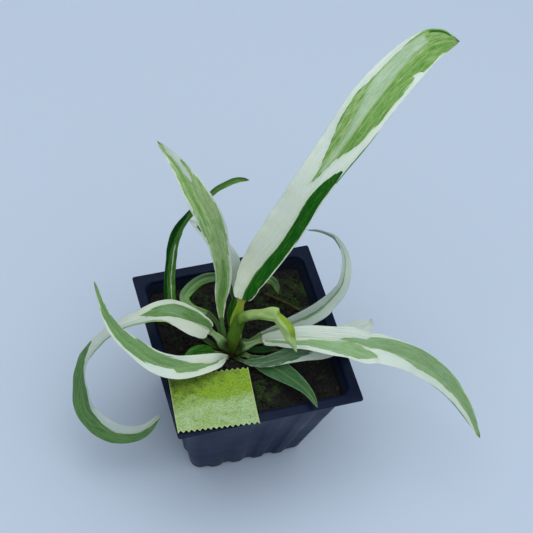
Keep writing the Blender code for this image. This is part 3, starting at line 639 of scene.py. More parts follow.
def shaded(name, stops, roughness, scale, relief):
    """Material that reads each bit's own tone from its attribute, mottled at the scale in 1/m."""
    material, tree, shader = new_material(name, roughness)
    place = add(tree, "TexCoord").outputs["Object"]
    tone = add(tree, "Attribute", attribute_name="tone")
    value = add(tree, "SeparateXYZ", {0: tone.outputs["Vector"]})
    mottle = add(tree, "TexNoise", {"Vector": place, "Scale": scale, "Detail": 4.0})
    spread = add(tree, "Math", {0: mottle, 1: 0.4, 2: -0.2}, operation="MULTIPLY_ADD")
    total = add(tree, "Math", {0: value.outputs[0], 1: spread}, operation="ADD")
    ramp = colour_ramp(tree, total, stops)
    height = add(tree, "Math", {0: mottle, 1: relief}, operation="MULTIPLY")
    finish_material(tree, shader, ramp, None, height)
    return material


def leaf_skin(settings):
    """Living leaf under a thin wax: cream and green tissue with ragged lengthwise borders.

    Green shows where the distance to the patch's border, roughened by noise that is drawn out
    along the blade, is above nought. Fine veins run nearly lengthwise.
    """
    material, tree, shader = new_material("waxy_leaf", 0.4, 1.44)
    shader.inputs["Subsurface Weight"].default_value = 0.12
    shader.inputs["Subsurface Radius"].default_value = (0.5, 0.9, 0.3)
    shader.inputs["Subsurface Scale"].default_value = 0.8 * MM
    shader.inputs["Specular IOR Level"].default_value = 0.18
    vectors = [add(tree, "Attribute", attribute_name=key).outputs["Vector"]
               for key in ("place", "paint", "state", "tint")]
    place, paint, state, tint = (add(tree, "SeparateXYZ", {0: vector}).outputs for vector in vectors)
    here = add(tree, "TexCoord").outputs["Object"]

    # Streaks in millimetres: 14 long and 1.1 wide, and 6 long and 0.6 wide
    drawn = add(tree, "VectorMath", {0: vectors[0], 1: (0.07, 0.9, 0.0)}, operation="MULTIPLY")
    streaks = add(tree, "TexNoise", {"Vector": drawn, "Scale": 1.0, "Detail": 3.0, "Roughness": 0.6})
    thin = add(tree, "VectorMath", {0: vectors[0], 1: (0.17, 1.7, 0.0)}, operation="MULTIPLY")
    threads = add(tree, "TexNoise", {"Vector": thin, "Scale": 1.0, "Detail": 3.0, "Roughness": 0.65})
    clouds = add(tree, "TexNoise", {"Vector": here, "Scale": 140.0, "Detail": 2.0})
    grain = add(tree, "TexNoise", {"Vector": here, "Scale": 1300.0, "Detail": 2.0})

    # Ragged border between the green and the cream
    wide = add(tree, "Math", {0: streaks, 1: 0.5}, operation="SUBTRACT")
    narrow = add(tree, "Math", {0: threads, 1: 0.5}, operation="SUBTRACT")
    both = add(tree, "Math", {0: narrow, 1: 0.5, 2: wide}, operation="MULTIPLY_ADD")
    ragged = add(tree, "Math", {0: both, 1: tint[1]}, operation="MULTIPLY")
    border = add(tree, "Math", {0: ragged, 1: 5.0, 2: paint[0]}, operation="MULTIPLY_ADD")
    green = add(tree, "MapRange", {"Value": border, "From Min": -0.14, "From Max": 0.14},
                interpolation_type="SMOOTHSTEP")
    halo = add(tree, "Math", {0: narrow, 1: 5.0, 2: border}, operation="MULTIPLY_ADD")
    sage = add(tree, "MapRange", {"Value": halo, "From Min": -2.2, "From Max": 0.2, "To Max": 0.22})

    warm = add(tree, "Math", {0: clouds, 1: 0.6, 2: state[0]}, operation="MULTIPLY_ADD")
    white = add(tree, "Mix", {"Factor": warm, "A": tuple(settings.chalk), "B": tuple(settings.cream)},
                data_type="RGBA")
    white = add(tree, "Mix", {"Factor": sage, "A": white, "B": tuple(settings.pale)}, data_type="RGBA")
    lively = add(tree, "MapRange", {"Value": tint[1], "From Min": 0.2, "From Max": 0.7,
                                    "To Min": 0.5, "To Max": 1.5})
    mixed = add(tree, "Math", {0: wide, 1: 0.6, 2: narrow}, operation="MULTIPLY_ADD")
    depth = add(tree, "Math", {0: mixed, 1: lively, 2: paint[1]}, operation="MULTIPLY_ADD")
    speckled = add(tree, "Math", {0: grain, 1: 0.3, 2: -0.15}, operation="MULTIPLY_ADD")
    depth = add(tree, "Math", {0: depth, 1: speckled}, operation="ADD")
    depth = add(tree, "Math", {0: depth, 1: 0.7}, operation="MULTIPLY")
    greens = colour_ramp(tree, depth, ((0.0, tuple(settings.pale)), (0.35, tuple(settings.middle)),
                                       (0.7, tuple(settings.deep)), (1.0, linear("#0b2a08"))))

    # Pale silvery flecks drawn out along the blade: the tall leaf's own silvering where air lies under the
    # skin, a painted highlight near the curled leaf's foot, and a greyer green elsewhere
    flecks = add(tree, "MapRange", {"Value": threads, "From Min": 0.3, "From Max": 0.62})
    silver_and_painted_highlight = add(tree, "Math", {0: flecks, 1: paint[2]}, operation="MULTIPLY")
    greens = add(tree, "Mix", {"Factor": silver_and_painted_highlight, "A": greens, "B": linear("#c6dccb")}, data_type="RGBA")
    skin = add(tree, "Mix", {"Factor": green, "A": white, "B": greens}, data_type="RGBA")

    # Midrib half a millimetre wide, a thin pale rim, and the duller, paler skin of the lower side, which is
    # also mixed onto the upper side of leaves in shade as painted shade
    across = add(tree, "Math", {0: place[1]}, operation="ABSOLUTE")
    rib = add(tree, "MapRange", {"Value": across, "From Min": 0.15, "From Max": 0.5,
                                 "To Min": 0.18, "To Max": 0.0}, interpolation_type="SMOOTHSTEP")
    rim = add(tree, "MapRange", {"Value": place[2], "From Min": 0.1, "From Max": 0.35,
                                 "To Min": 0.3, "To Max": 0.0})
    # On the lower side the paler skin; on the upper side of leaves in shade, painted shade
    under = add(tree, "Math", {0: state[1], 1: 0.4}, operation="MULTIPLY")

    # Stalk: dark olive at its foot, then grey-green to yellow olive, with pinkish brown streaks on the last
    olive = colour_ramp(tree, tint[0], ((0.0, linear("#2e3d18")), (0.3, linear("#5c8248")),
                                        (0.5, linear("#8fae7c")), (1.0, tuple(settings.stalk))))
    blush = add(tree, "MapRange", {"Value": streaks, "From Min": 0.52, "From Max": 0.62, "To Max": 0.6})
    blush = add(tree, "Math", {0: blush, 1: tint[2]}, operation="MULTIPLY")
    olive = add(tree, "Mix", {"Factor": blush, "A": olive, "B": linear("#b48a66")}, data_type="RGBA")
    stem = add(tree, "MapRange", {"Value": state[0], "From Min": 0.6, "From Max": 1.0})
    for factor, layer in ((rib, linear("#a9bd7a")), (rim, linear("#c2d3b4")), (under, linear("#879a90")),
                          (stem, olive), (state[2], linear("#6e5a33"))):
        skin = add(tree, "Mix", {"Factor": factor, "A": skin, "B": layer}, data_type="RGBA")

    # Veins lie at a small angle to the midrib and are drawn a little coarser than real ones
    slant = add(tree, "Math", {0: place[0], 1: -0.16, 2: across}, operation="MULTIPLY_ADD")
    wander = add(tree, "Math", {0: wide, 1: 1.6, 2: slant}, operation="MULTIPLY_ADD")
    pitch = 2 * math.pi / (settings.vein_pitch / MM)
    phase = add(tree, "Math", {0: wander, 1: pitch}, operation="MULTIPLY")
    veins = add(tree, "Math", {0: phase}, operation="SINE")
    fine = add(tree, "Math", {0: veins, 1: 0.025}, operation="MULTIPLY")
    folds = add(tree, "Math", {0: streaks, 1: 0.35, 2: fine}, operation="MULTIPLY_ADD")
    pores = add(tree, "Math", {0: grain, 1: 0.05, 2: folds}, operation="MULTIPLY_ADD")
    height = add(tree, "Math", {0: clouds, 1: 0.25, 2: pores}, operation="MULTIPLY_ADD")
    dull = add(tree, "Math", {0: state[1], 1: 0.2, 2: 0.27}, operation="MULTIPLY_ADD")
    rough = add(tree, "Math", {0: threads, 1: 0.22, 2: dull}, operation="MULTIPLY_ADD")
    finish_material(tree, shader, skin, rough, height)
    return material


def paper(settings):
    """Creped paper tape: a lime wash, chalky to the front and dark where it pooled, with rubbed fibres."""
    material, tree, shader = new_material("washed_paper_tape", 0.8)
    shader.inputs["Specular IOR Level"].default_value = 0.2
    vector = add(tree, "Attribute", attribute_name="place").outputs["Vector"]
    place = add(tree, "SeparateXYZ", {0: vector}).outputs
    # Clouds of wash 11 mm wide and 5 deep, chalky to the front
    drawn = add(tree, "VectorMath", {0: vector, 1: (0.09, 0.2, 0.0)}, operation="MULTIPLY")
    clouds = add(tree, "TexNoise", {"Vector": drawn, "Scale": 1.0, "Detail": 5.0, "Roughness": 0.6})
    fade = add(tree, "MapRange", {"Value": place[1], "From Min": -4.0, "From Max": 5.0,
                                  "To Min": 0.2, "To Max": -0.35})
    thin = add(tree, "Math", {0: clouds, 1: 1.2, 2: fade}, operation="MULTIPLY_ADD")
    amount = add(tree, "MapRange", {"Value": thin, "From Min": 0.35, "From Max": 0.95})
    colour = add(tree, "Mix", {"Factor": amount, "A": tuple(settings.lime), "B": tuple(settings.light)},
                 data_type="RGBA")
    # Smudges 4 mm wide, most of them to the left
    spots = add(tree, "VectorMath", {0: vector, 1: (0.25, 0.33, 0.0)}, operation="MULTIPLY")
    smudges = add(tree, "TexNoise", {"Vector": spots, "Scale": 1.0, "Detail": 5.0, "Roughness": 0.65})
    corner = add(tree, "Math", {0: place[0], 1: -0.56, 2: place[1]}, operation="MULTIPLY_ADD")
    pooled = add(tree, "MapRange", {"Value": corner, "From Min": 2.0, "From Max": 16.0,
                                    "To Min": -0.04, "To Max": 0.17})
    dirt = add(tree, "Math", {0: smudges, 1: pooled}, operation="ADD")
    dark = add(tree, "MapRange", {"Value": dirt, "From Min": 0.5, "From Max": 0.78, "To Max": 0.85})
    # Crepe: furrows across the strip, some 0.6 mm apart, with pigment in them
    fine = add(tree, "VectorMath", {0: vector, 1: (1.0, 1.8, 0.0)}, operation="MULTIPLY")
    crepe = add(tree, "TexNoise", {"Vector": fine, "Scale": 1.0, "Detail": 5.0, "Roughness": 0.85})
    furrow = add(tree, "MapRange", {"Value": crepe, "From Min": 0.36, "From Max": 0.5,
                                    "To Min": 0.8, "To Max": 0.0})
    fibre = add(tree, "MapRange", {"Value": crepe, "From Min": 0.52, "From Max": 0.68, "To Max": 0.35})
    edge = add(tree, "MapRange", {"Value": place[2], "From Min": 0.1, "From Max": 0.6,
                                  "To Min": 0.5, "To Max": 0.0})
    for factor, layer in ((dark, "#38501a"), (furrow, "#415a18"), (fibre, "#d9e6b4"), (edge, "#dfeaa0")):
        colour = add(tree, "Mix", {"Factor": factor, "A": colour, "B": linear(layer)}, data_type="RGBA")
    height = add(tree, "Math", {0: crepe, 1: 0.3}, operation="MULTIPLY")
    finish_material(tree, shader, colour, None, height)
    return material


# Pot


def wall_half(z):
    """Half the pot's outer side at height z, on the flat of the wall."""
    return BASE_HALF + (WALL_TOP_HALF - BASE_HALF) * z / WALL_TOP


def wall_corner(z):
    """Radius of the pot's upright corners at height z."""
    return BASE_CORNER + (TOP_CORNER - BASE_CORNER) * z / WALL_TOP


def pot_profile(rib_height):
    """Section of the pot from under its base, over the rim, to the middle of its floor inside.

    Each row is (half side, corner radius, height, rib height). Bends are quarter circles.
    """
    bend = np.linspace(0, math.pi / 2, BEND_POINTS)
    reach = wall_half(BASE_ROUND) - (BASE_HALF - BASE_ROUND)
    inset = BASE_HALF - BASE_ROUND
    rows = [(inset * s, BASE_CORNER * s, 0.0, rib_height * 0.5 * s) for s in (0.0, 0.3, 0.6, 0.85)]
    rows += [(inset + reach * math.sin(t), BASE_CORNER - 1.5 * math.cos(t), BASE_ROUND * (1 - math.cos(t)),
              rib_height * (0.5 + 0.45 * math.sin(t))) for t in bend]
    rows += [(wall_half(z), wall_corner(z), z, rib_height * max(0.0, 1 - z / RIB_END) ** 0.6)
             for z in np.linspace(BASE_ROUND + 1.5, WALL_TOP - 0.3, 44)]
    under = POT_HEIGHT - RIM_THICKNESS
    rows += [(WALL_TOP_HALF + RIM_FILLET * math.sin(t), TOP_CORNER - 0.5 * math.sin(t),
              WALL_TOP + (under - WALL_TOP) * (1 - math.cos(t)), 0.0) for t in bend[1:]]
    rows += [(half, RIM_CORNER, under, 0.0) for half in (WALL_TOP_HALF + 2.4, RIM_HALF - 0.7)]
    edge, brink = RIM_HALF - RIM_ROUND, POT_HEIGHT - RIM_ROUND
    rows += [(edge + RIM_ROUND * math.sin(t), RIM_CORNER, under + RIM_ROUND * (1 - math.cos(t)), 0.0)
             for t in bend]
    rows += [(edge + RIM_ROUND * math.cos(t), RIM_CORNER, brink + RIM_ROUND * math.sin(t), 0.0)
             for t in bend]
    rows += [(RIM_HALF - 1.6, RIM_CORNER + 0.4, POT_HEIGHT, 0.0),
             (RIM_HALF - 3.2, LIP_CORNER - 1.2, POT_HEIGHT, 0.0)]
    lip, inner = RIM_HALF - LIP_REACH, WALL_TOP_HALF - WALL
    rows += [(lip - (lip - inner) * math.sin(t), LIP_CORNER,
              POT_HEIGHT - (POT_HEIGHT - WALL_TOP) * (1 - math.cos(t)), 0.0) for t in bend]
    rows += [(wall_half(z) - WALL, wall_corner(z) - WALL, z, 0.0)
             for z in np.linspace(WALL_TOP - 1, FLOOR_EDGE, 30)]
    rows += [(FLOOR_HALF * s, FLOOR_CORNER * s, FLOOR, 0.0) for s in (1.0, 0.85, 0.6, 0.3, 0.0)]
    return np.array(rows)


def pot_surface(rib_height):
    """Pot as level outlines, row by row of its profile.

    An outline has four straight sides with the ribs as smooth swells, and four round corners.
    """
    half, corner, z, rib = pot_profile(rib_height).T[:, :, None]
    share = np.linspace(-1, 1, SIDE_POINTS)
    swell = sum(1 - smooth_step(np.abs(share - place), RIB_CREST, RIB_FOOT) for place in RIB_PLACES)
    straight = half - corner
    x, y = share * straight, -half - rib * swell
    angle = np.radians(np.linspace(-90, 0, CORNER_POINTS)[1:-1])
    x = np.concatenate((x, straight + corner * np.cos(angle)), 1)
    y = np.concatenate((y, -straight + corner * np.sin(angle)), 1)
    sides = [(x, y), (-y, x), (-x, -y), (y, -x)]
    x, y = (np.concatenate([side[axis] for side in sides], 1) for axis in (0, 1))
    # Thin plastic is never quite flat
    wobble = 0.04 * waves(np.arctan2(y, x) * 12, z, 14, 5)
    wobble = wobble * smooth_step(z, 4, 30) * smooth_step(-z, -POT_HEIGHT, -60)
    grid = np.stack((x * (1 + wobble / RIM_HALF), y * (1 + wobble / RIM_HALF), z + 0 * x), -1)
    rows, columns = grid.shape[:2]
    inner = grid[1:-1].reshape(-1, 3)
    points = np.concatenate((inner, grid[0, :1], grid[-1, :1]))
    return points, closed_faces(rows - 2, columns)


class PLANT_OT_pot(bpy.types.Operator):
    """Make the fine surface of the nursery pot and cut its drain holes"""

    bl_idname = "plant.pot"
    bl_label = "Nursery pot"

    def execute(self, context):
        settings = context.scene.plant_pot
        points, faces = pot_surface(settings.rib_height / MM)
        pot = add_piece("pot_shell", points, faces, pot_plastic(settings), "pot")
        cutters = []
        for sx, sy in ((1, 1), (-1, 1), (-1, -1), (1, -1)):
            bpy.ops.mesh.primitive_cylinder_add(vertices=DRAIN_SIDES, radius=DRAIN_RADIUS * MM, depth=10 * MM,
                                                location=(sx * DRAIN_PLACE * MM, sy * DRAIN_PLACE * MM, 0))
            cutters.append(context.object)
            cut = pot.modifiers.new("drain", "BOOLEAN")
            cut.object = cutters[-1]
        mesh = bpy.data.meshes.new_from_object(pot.evaluated_get(context.evaluated_depsgraph_get()))
        pot.modifiers.clear()
        pot.data = mesh
        mesh.shade_smooth()
        mesh.set_sharp_from_angle(angle=math.radians(SHARP_DEGREES))
        for cutter in cutters:
            bpy.data.objects.remove(cutter)
        return {"FINISHED"}


# Soil


def square_radius(angle, half, corner):
    """Distance from the middle of a round-cornered square to its outline, along an angle."""
    c, s = np.abs(np.cos(angle)), np.abs(np.sin(angle))
    inner = half - corner
    flat = half / np.maximum(s, c)
    along = inner * (c + s)
    bent = along + np.sqrt(np.maximum(0.0, along ** 2 - 2 * inner ** 2 + corner ** 2))
    return np.where(np.minimum(c, s) * flat <= inner, flat, bent)


def moss_cover(x, y):
    """How mossy the soil is at a point, from 0 to about 1.3: soft spots broken up by noise."""
    cover = sum(strength * np.exp(-((x - px) ** 2 + (y - py) ** 2) / spread ** 2)
                for px, py, spread, strength in MOSS_PATCHES)
    return np.clip(cover + 0.35 * waves(x, y, 9, 21) * (0.25 + cover), 0, 1.4)


def soil_level(x, y):
    """Height of the soil's surface: the frame's lumps, and smaller ones down to a millimetre."""
    lumps = np.sin(0.21 * x + 0.9) * np.cos(0.19 * y - 0.4)
    lumps += 0.6 * np.sin(0.43 * x - 0.31 * y + 2.1)
    lumps += 0.4 * np.cos(0.37 * x + 0.52 * y)
    small = 0.45 * waves(x, y, 6, 1) + 0.28 * waves(x, y, 2.6, 2) + 0.16 * waves(x, y, 1.2, 3)
    side = wall_half(SOIL_TOP) - WALL - GAP
    wall = side - np.maximum(np.abs(x), np.abs(y))
    hole = np.hypot(x - CROWN_X, y - CROWN_Y) - HOLE_RADIUS
    fade = smooth_step(np.minimum(wall, hole), 0, 6)
    return SOIL_TOP + fade * (SOIL_RELIEF * lumps / 1.6 + small + 0.5 * moss_cover(x, y))


def soil_surface():
    """Soil as rings: up the crown's hole, out over the lumpy top, and down inside the pot's wall."""
    angles = round_angles(SOIL_SECTORS)
    circle = np.array((CROWN_X, CROWN_Y)) + HOLE_RADIUS * np.stack((np.cos(angles), np.sin(angles)), 1)
    low = FLOOR_EDGE + GAP
    outlines = []
    for half, corner, level in ((wall_half(SOIL_TOP) - WALL - GAP, wall_corner(SOIL_TOP) - WALL, SOIL_TOP),
                                (wall_half(low) - WALL - GAP, wall_corner(low) - WALL, low),
                                (FLOOR_HALF - GAP, FLOOR_CORNER, FLOOR + GAP)):
        reach = square_radius(angles, half, corner)
        outlines.append(np.column_stack((reach * np.cos(angles), reach * np.sin(angles),
                                         np.full(SOIL_SECTORS, level))))
    share = np.linspace(0, 1, SOIL_RINGS)[:, None, None]
    top = circle * (1 - share) + outlines[0][:, :2] * share
    top = np.concatenate((top, soil_level(top[..., 0], top[..., 1])[..., None]), -1)
    hole = np.column_stack((circle, np.full(SOIL_SECTORS, HOLE_FLOOR)))
    rings = np.concatenate((hole[None], top, np.stack(outlines[1:])))[:, ::-1]
    poles = [(CROWN_X, CROWN_Y, HOLE_FLOOR), (0, 0, FLOOR + GAP)]
    points = np.concatenate((rings.reshape(-1, 3), poles))
    cover = np.zeros_like(points)
    cover[:, 0] = moss_cover(points[:, 0], points[:, 1])
    return points, closed_faces(len(rings), SOIL_SECTORS), {"cover": cover}


def soil_spots(rng, count):
    """Random points on the soil, clear of the pot's wall and of the crown's hole."""
    side = wall_half(SOIL_TOP) - WALL - 1.6
    spots = rng.uniform(-side, side, (count * 2, 2))
    clear = np.hypot(spots[:, 0] - CROWN_X, spots[:, 1] - CROWN_Y) > HOLE_RADIUS + 0.6
    return spots[clear][:count]


def turned(rng, count, tilt):
    """Random turning matrices: any heading, and a tilt up to the given angle in radians."""
    heading = rng.uniform(0, 2 * math.pi, count)
    lean, roll = rng.uniform(-tilt, tilt, (2, count))
    zero, one = np.zeros(count), np.ones(count)
    about_z = np.array(((np.cos(heading), -np.sin(heading), zero), (np.sin(heading), np.cos(heading), zero),
                        (zero, zero, one)))
    about_x = np.array(((one, zero, zero), (zero, np.cos(lean), -np.sin(lean)),
                        (zero, np.sin(lean), np.cos(lean))))
    about_y = np.array(((np.cos(roll), zero, np.sin(roll)), (zero, one, zero),
                        (-np.sin(roll), zero, np.cos(roll))))
    return np.einsum("ijn,jkn,kln->nil", about_z, about_x, about_y)


def lumps(rng, centres, sizes, tilt, rings=4, sectors=7):
    """Many crumbs in one mesh: each an ellipsoid on a small grid, with its points pushed about."""
    count = len(centres)
    polar = np.linspace(0, math.pi, rings + 2)[1:-1][:, None]
    round_about = round_angles(sectors)
    ball = np.stack((np.sin(polar) * np.cos(round_about), np.sin(polar) * np.sin(round_about),
                     -np.cos(polar) + 0 * round_about), -1).reshape(-1, 3)
    ball = np.concatenate((ball, [(0, 0, -1), (0, 0, 1)]))
    points = ball * rng.uniform(0.72, 1.18, (count, len(ball), 1)) * sizes[:, None]
    points = np.einsum("nij,nvj->nvi", turned(rng, count, tilt), points) + centres[:, None]
    tone = np.zeros((count, len(ball), 3))
    tone[..., 0] = rng.uniform(0, 1, (count, 1))
    return (points.reshape(-1, 3), copied_faces(count, len(ball), rings, sectors),
            {"tone": tone.reshape(-1, 3)})


def tube(path, radius):
    """Closed tube along a path: circles square to it, with a radius for each point round them."""
    along = unit(np.gradient(path, axis=0))
    side = unit(np.cross(along, (0.0, 0.0, 1.0)))
    up = np.cross(side, along)
    stations, sectors = radius.shape
    angle = round_angles(sectors)
    circle = np.cos(angle)[:, None] * side[:, None] + np.sin(angle)[:, None] * up[:, None]
    rings = path[:, None] + radius[..., None] * circle
    points = np.concatenate((rings[:, ::-1].reshape(-1, 3), path[:1], path[-1:]))
    return points, closed_faces(stations, sectors)


class PLANT_OT_soil(bpy.types.Operator):
    """Make the soil's surface, its crumbs, its bits of bark and its twig"""

    bl_idname = "plant.soil"
    bl_label = "Soil"

    def execute(self, context):
        settings = context.scene.plant_soil
        points, faces, cover = soil_surface()
        add_piece("potting_mix", points, faces, peat(settings), "soil", cover)
        rng = np.random.default_rng(11)
        self.add_crumbs(rng, settings)
        self.add_bark(rng)
        self.add_twig()
        return {"FINISHED"}

    def add_crumbs(self, rng, settings):
        """Crumbs of all sizes up to 4 mm across, sunk a little less than half in the soil."""
        spots = soil_spots(rng, settings.crumbs)
        size = rng.gamma(2.2, 0.28, (len(spots), 1)).clip(0.25, 1.6) * rng.uniform(0.6, 1.2, (len(spots), 3))
        centres = np.column_stack((spots, soil_level(*spots.T) + 0.25 * size[:, 2]))
        points, faces, tone = lumps(rng, centres, size, 0.6)
        stops = ((0.0, linear("#0b0b08")), (0.55, linear("#191710")), (0.86, linear("#262317")),
                 (1.0, tuple(settings.bark)))
        add_piece("soil_crumbs", points, faces, shaded("peat_crumbs", stops, 0.9, 900.0, 0.3),
                  attributes=tone)

    def add_bark(self, rng):
        """Flat bits of bark, 2 to 7 mm long."""
        spots = soil_spots(rng, BARK_BITS)
        size = np.column_stack((rng.uniform(1.0, 3.4, len(spots)), rng.uniform(0.35, 1.0, len(spots)),
                                rng.uniform(0.2, 0.45, len(spots))))
        centres = np.column_stack((spots, soil_level(*spots.T) + 0.35))
        points, faces, tone = lumps(rng, centres, size, 0.35)
        stops = ((0.0, linear("#15120c")), (0.5, linear("#2a2316")), (0.88, linear("#4c3f24")),
                 (1.0, linear("#86733f")))
        add_piece("bark_bits", points, faces, shaded("bark_bits", stops, 0.8, 1400.0, 0.25),
                  attributes=tone)

    def add_twig(self):
        """A knobbly twig that lies on the soil and thins out at both ends."""
        path, length = smooth_rows(TWIG_PATH, TWIG_STATIONS)
        path[:, 2] = np.maximum(path[:, 2], soil_level(path[:, 0], path[:, 1]) + 0.5)
        along = np.linspace(0, length, TWIG_STATIONS)[:, None]
        knobs = 1 + 0.25 * waves(along, 3 * np.cos(round_angles(TWIG_SECTORS)), 3, 8)
        points, faces = tube(path, TWIG_RADIUS * knobs * np.sin(math.pi * along / length) ** 0.25)
        stops = ((0.2, linear("#1f1b0e")), (0.45, linear("#3c3818")), (0.7, linear("#3c4c18")))
        add_piece("twig", points, faces, shaded("mossy_twig", stops, 0.85, 500.0, 0.3),
                  attributes={"tone": np.full_like(points, 0.45)})


def moss_shoots(rng, spots):
    """Moss in one mesh: each shoot a three-sided spike, widest near its middle, leaning at random."""
    count = len(spots)
    height = rng.uniform(0.5, 1.5, count)
    width = rng.uniform(0.1, 0.22, count)
    lean = rng.normal(0, 0.45, (count, 2)) * height[:, None]
    heading = rng.uniform(0, 2 * math.pi, count)
    level = soil_level(*spots.T) - 0.15
    angle = heading[:, None] + np.array((0, 2, 4)) * math.pi / 3
    ring = np.stack((np.cos(angle), np.sin(angle)), -1) * width[:, None, None]
    low, middle = (np.broadcast_to(z[:, None, None], (count, 3, 1)) for z in (level, level + 0.5 * height))
    foot = np.concatenate((spots[:, None] + 0.6 * ring, low), -1)
    belly = np.concatenate((spots[:, None] + 0.45 * lean[:, None] + ring, middle), -1)
    base = np.column_stack((spots, level))[:, None]
    tip = np.column_stack((spots + lean, level + height))[:, None]
    points = np.concatenate((foot, belly, base, tip), 1)
    tone = np.zeros((count, 8, 3))
    tone[..., 0] = rng.uniform(0.1, 0.8, (count, 1)) + np.array((-0.3, -0.3, -0.3, 0, 0, 0, -0.3, 0.2))
    return points.reshape(-1, 3), copied_faces(count, 8, 2, 3), {"tone": tone.reshape(-1, 3)}


class PLANT_OT_moss(bpy.types.Operator):
    """Grow moss shoots on the mossy spots of the soil"""

    bl_idname = "plant.moss"
    bl_label = "Moss"

    def execute(self, context):
        settings = context.scene.plant_soil
        rng = np.random.default_rng(31)
        spots = soil_spots(rng, settings.shoots)
        keep = rng.uniform(0, 1, len(spots)) < 0.5 * moss_cover(*spots.T) ** 1.6
        points, faces, tone = moss_shoots(rng, spots[keep])
        stops = ((0.0, linear("#0f170a")), (0.5, linear("#1f2f10")), (0.85, tuple(settings.moss)),
                 (1.0, linear("#7cae3c")))
        add_piece("moss", points, faces, shaded("moss_shoots", stops, 0.7, 300.0, 0.0),
                  attributes=tone)
        return {"FINISHED"}


# Leaves


def seat_of(seat):
    """Foot of a leaf: beside the crown at the seat's heading and height, or on the crown's top."""
    heading, level = math.radians(seat[0]), seat[1]
    radii, levels = zip(*CROWN_PROFILE)
    if level >= levels[-1]:
        return CROWN_X, CROWN_Y, level
    reach = float(np.interp(level, levels, radii)) + SEAT_CLEARANCE
    return CROWN_X + reach * math.cos(heading), CROWN_Y + reach * math.sin(heading), level


def leaf_rows(name):
    """A leaf's midrib read in steps: places, half width, turn, bladeness, and length from its seat.

    The curve starts inside the crown, so lengths before the seat are below nought. The steps are
    three times as long away from the joint of the stalk and the blade.
    """
    seat, stalk_rows, _, _, rows = LEAVES[name]
    place = np.array(seat_of(seat))
    sink = NEW_LEAF_SINK if name == "leaf_new" else FOOT_SINK
    inside = np.array((CROWN_X, CROWN_Y, place[2] - sink)) + (place - (CROWN_X, CROWN_Y, place[2])) * 0.25
    width, turn = rows[0][3:]
    thick, foot = (1.8, 1.5) if stalk_rows > 1 else (0.5, 0.3)
    rows = [(*inside, thick * width, turn), (*place, foot * width, turn), *rows]
    table = np.column_stack((np.asarray(rows, float), [float(i > stalk_rows) for i in range(len(rows))]))
    rough_length = np.linalg.norm(np.diff(table[:, :3], axis=0), axis=1).sum()
    table, length = smooth_rows(table, int(rough_length / STATION_STEP))
    run = np.linspace(0, length, len(table)) - np.linalg.norm(place - inside)
    joint = run[int(np.argmax(table[:, 5] > 0.1))]
    keep = (np.arange(len(run)) % 3 == 0) | ((run > joint - 2) & (run < joint + 5)) | (run > length - 8)
    table, run = table[keep], run[keep]
    return (table[:, :3], np.maximum(table[:, 3], 1.2) / 2, np.radians(table[:, 4]),
            np.clip(table[:, 5], 0, 1), run)


def leaf_axes(spine, turn):
    """Directions along a leaf, across it to its right, and out of its face.

    The face looks to the light. Where the leaf itself runs that way, the face is carried on from
    the part before it, seen from the tip.
    """
    along = unit(spine[np.r_[1:len(spine), -1]] - spine[np.r_[0, :len(spine) - 1]])
    light = np.asarray(LIGHT)
    aim = light - (along @ light)[:, None] * along
    weight = smooth_step(np.linalg.norm(aim, axis=1), 0.3, 0.6)
    face = unit(aim)
    for i in range(len(face) - 2, -1, -1):
        carried = face[i + 1] - (face[i + 1] @ along[i]) * along[i]
        face[i] = unit(weight[i] * face[i] + (1 - weight[i]) * unit(carried))
    normal = np.cos(turn)[:, None] * face + np.sin(turn)[:, None] * np.cross(along, face)
    return along, np.cross(along, normal), normal


def band(rows, percent, share, half, length):
    """Distance in millimetres inside a patch: above nought in it, below nought outside."""
    at, left, right = np.array(rows, float).T
    inside = np.minimum(share - np.interp(percent, at, left), np.interp(percent, at, right) - share) * half
    return np.minimum(inside, np.minimum(percent - at[0], at[-1] - percent) * length / 100)


def leaf_paint(name, percent, share, half, length):
    """Green's distance, depth, sheen and raggedness at each point, from the leaf's patches."""
    bands = [(band(rows, percent, share, half, length), deep, ragged) for deep, ragged, rows in PATCHES[name]]
    green = np.maximum.reduce([inside for inside, _, _ in bands])
    depth = np.full_like(green, bands[0][1])
    ragged = np.full_like(green, bands[0][2])
    for inside, deep, rag in bands[1:]:
        weight = smooth_step(inside, -0.6, 0.4)
        depth = depth * (1 - weight) + deep * weight
        ragged = ragged * (1 - weight) + rag * weight
    sheen = np.zeros_like(green)
    if name in SHEEN:
        strength, rows = SHEEN[name]
        sheen = strength * smooth_step(band(rows, percent, share, half, length), -0.8, 1.2)
    return np.clip(green, -8, 8), depth, sheen, ragged


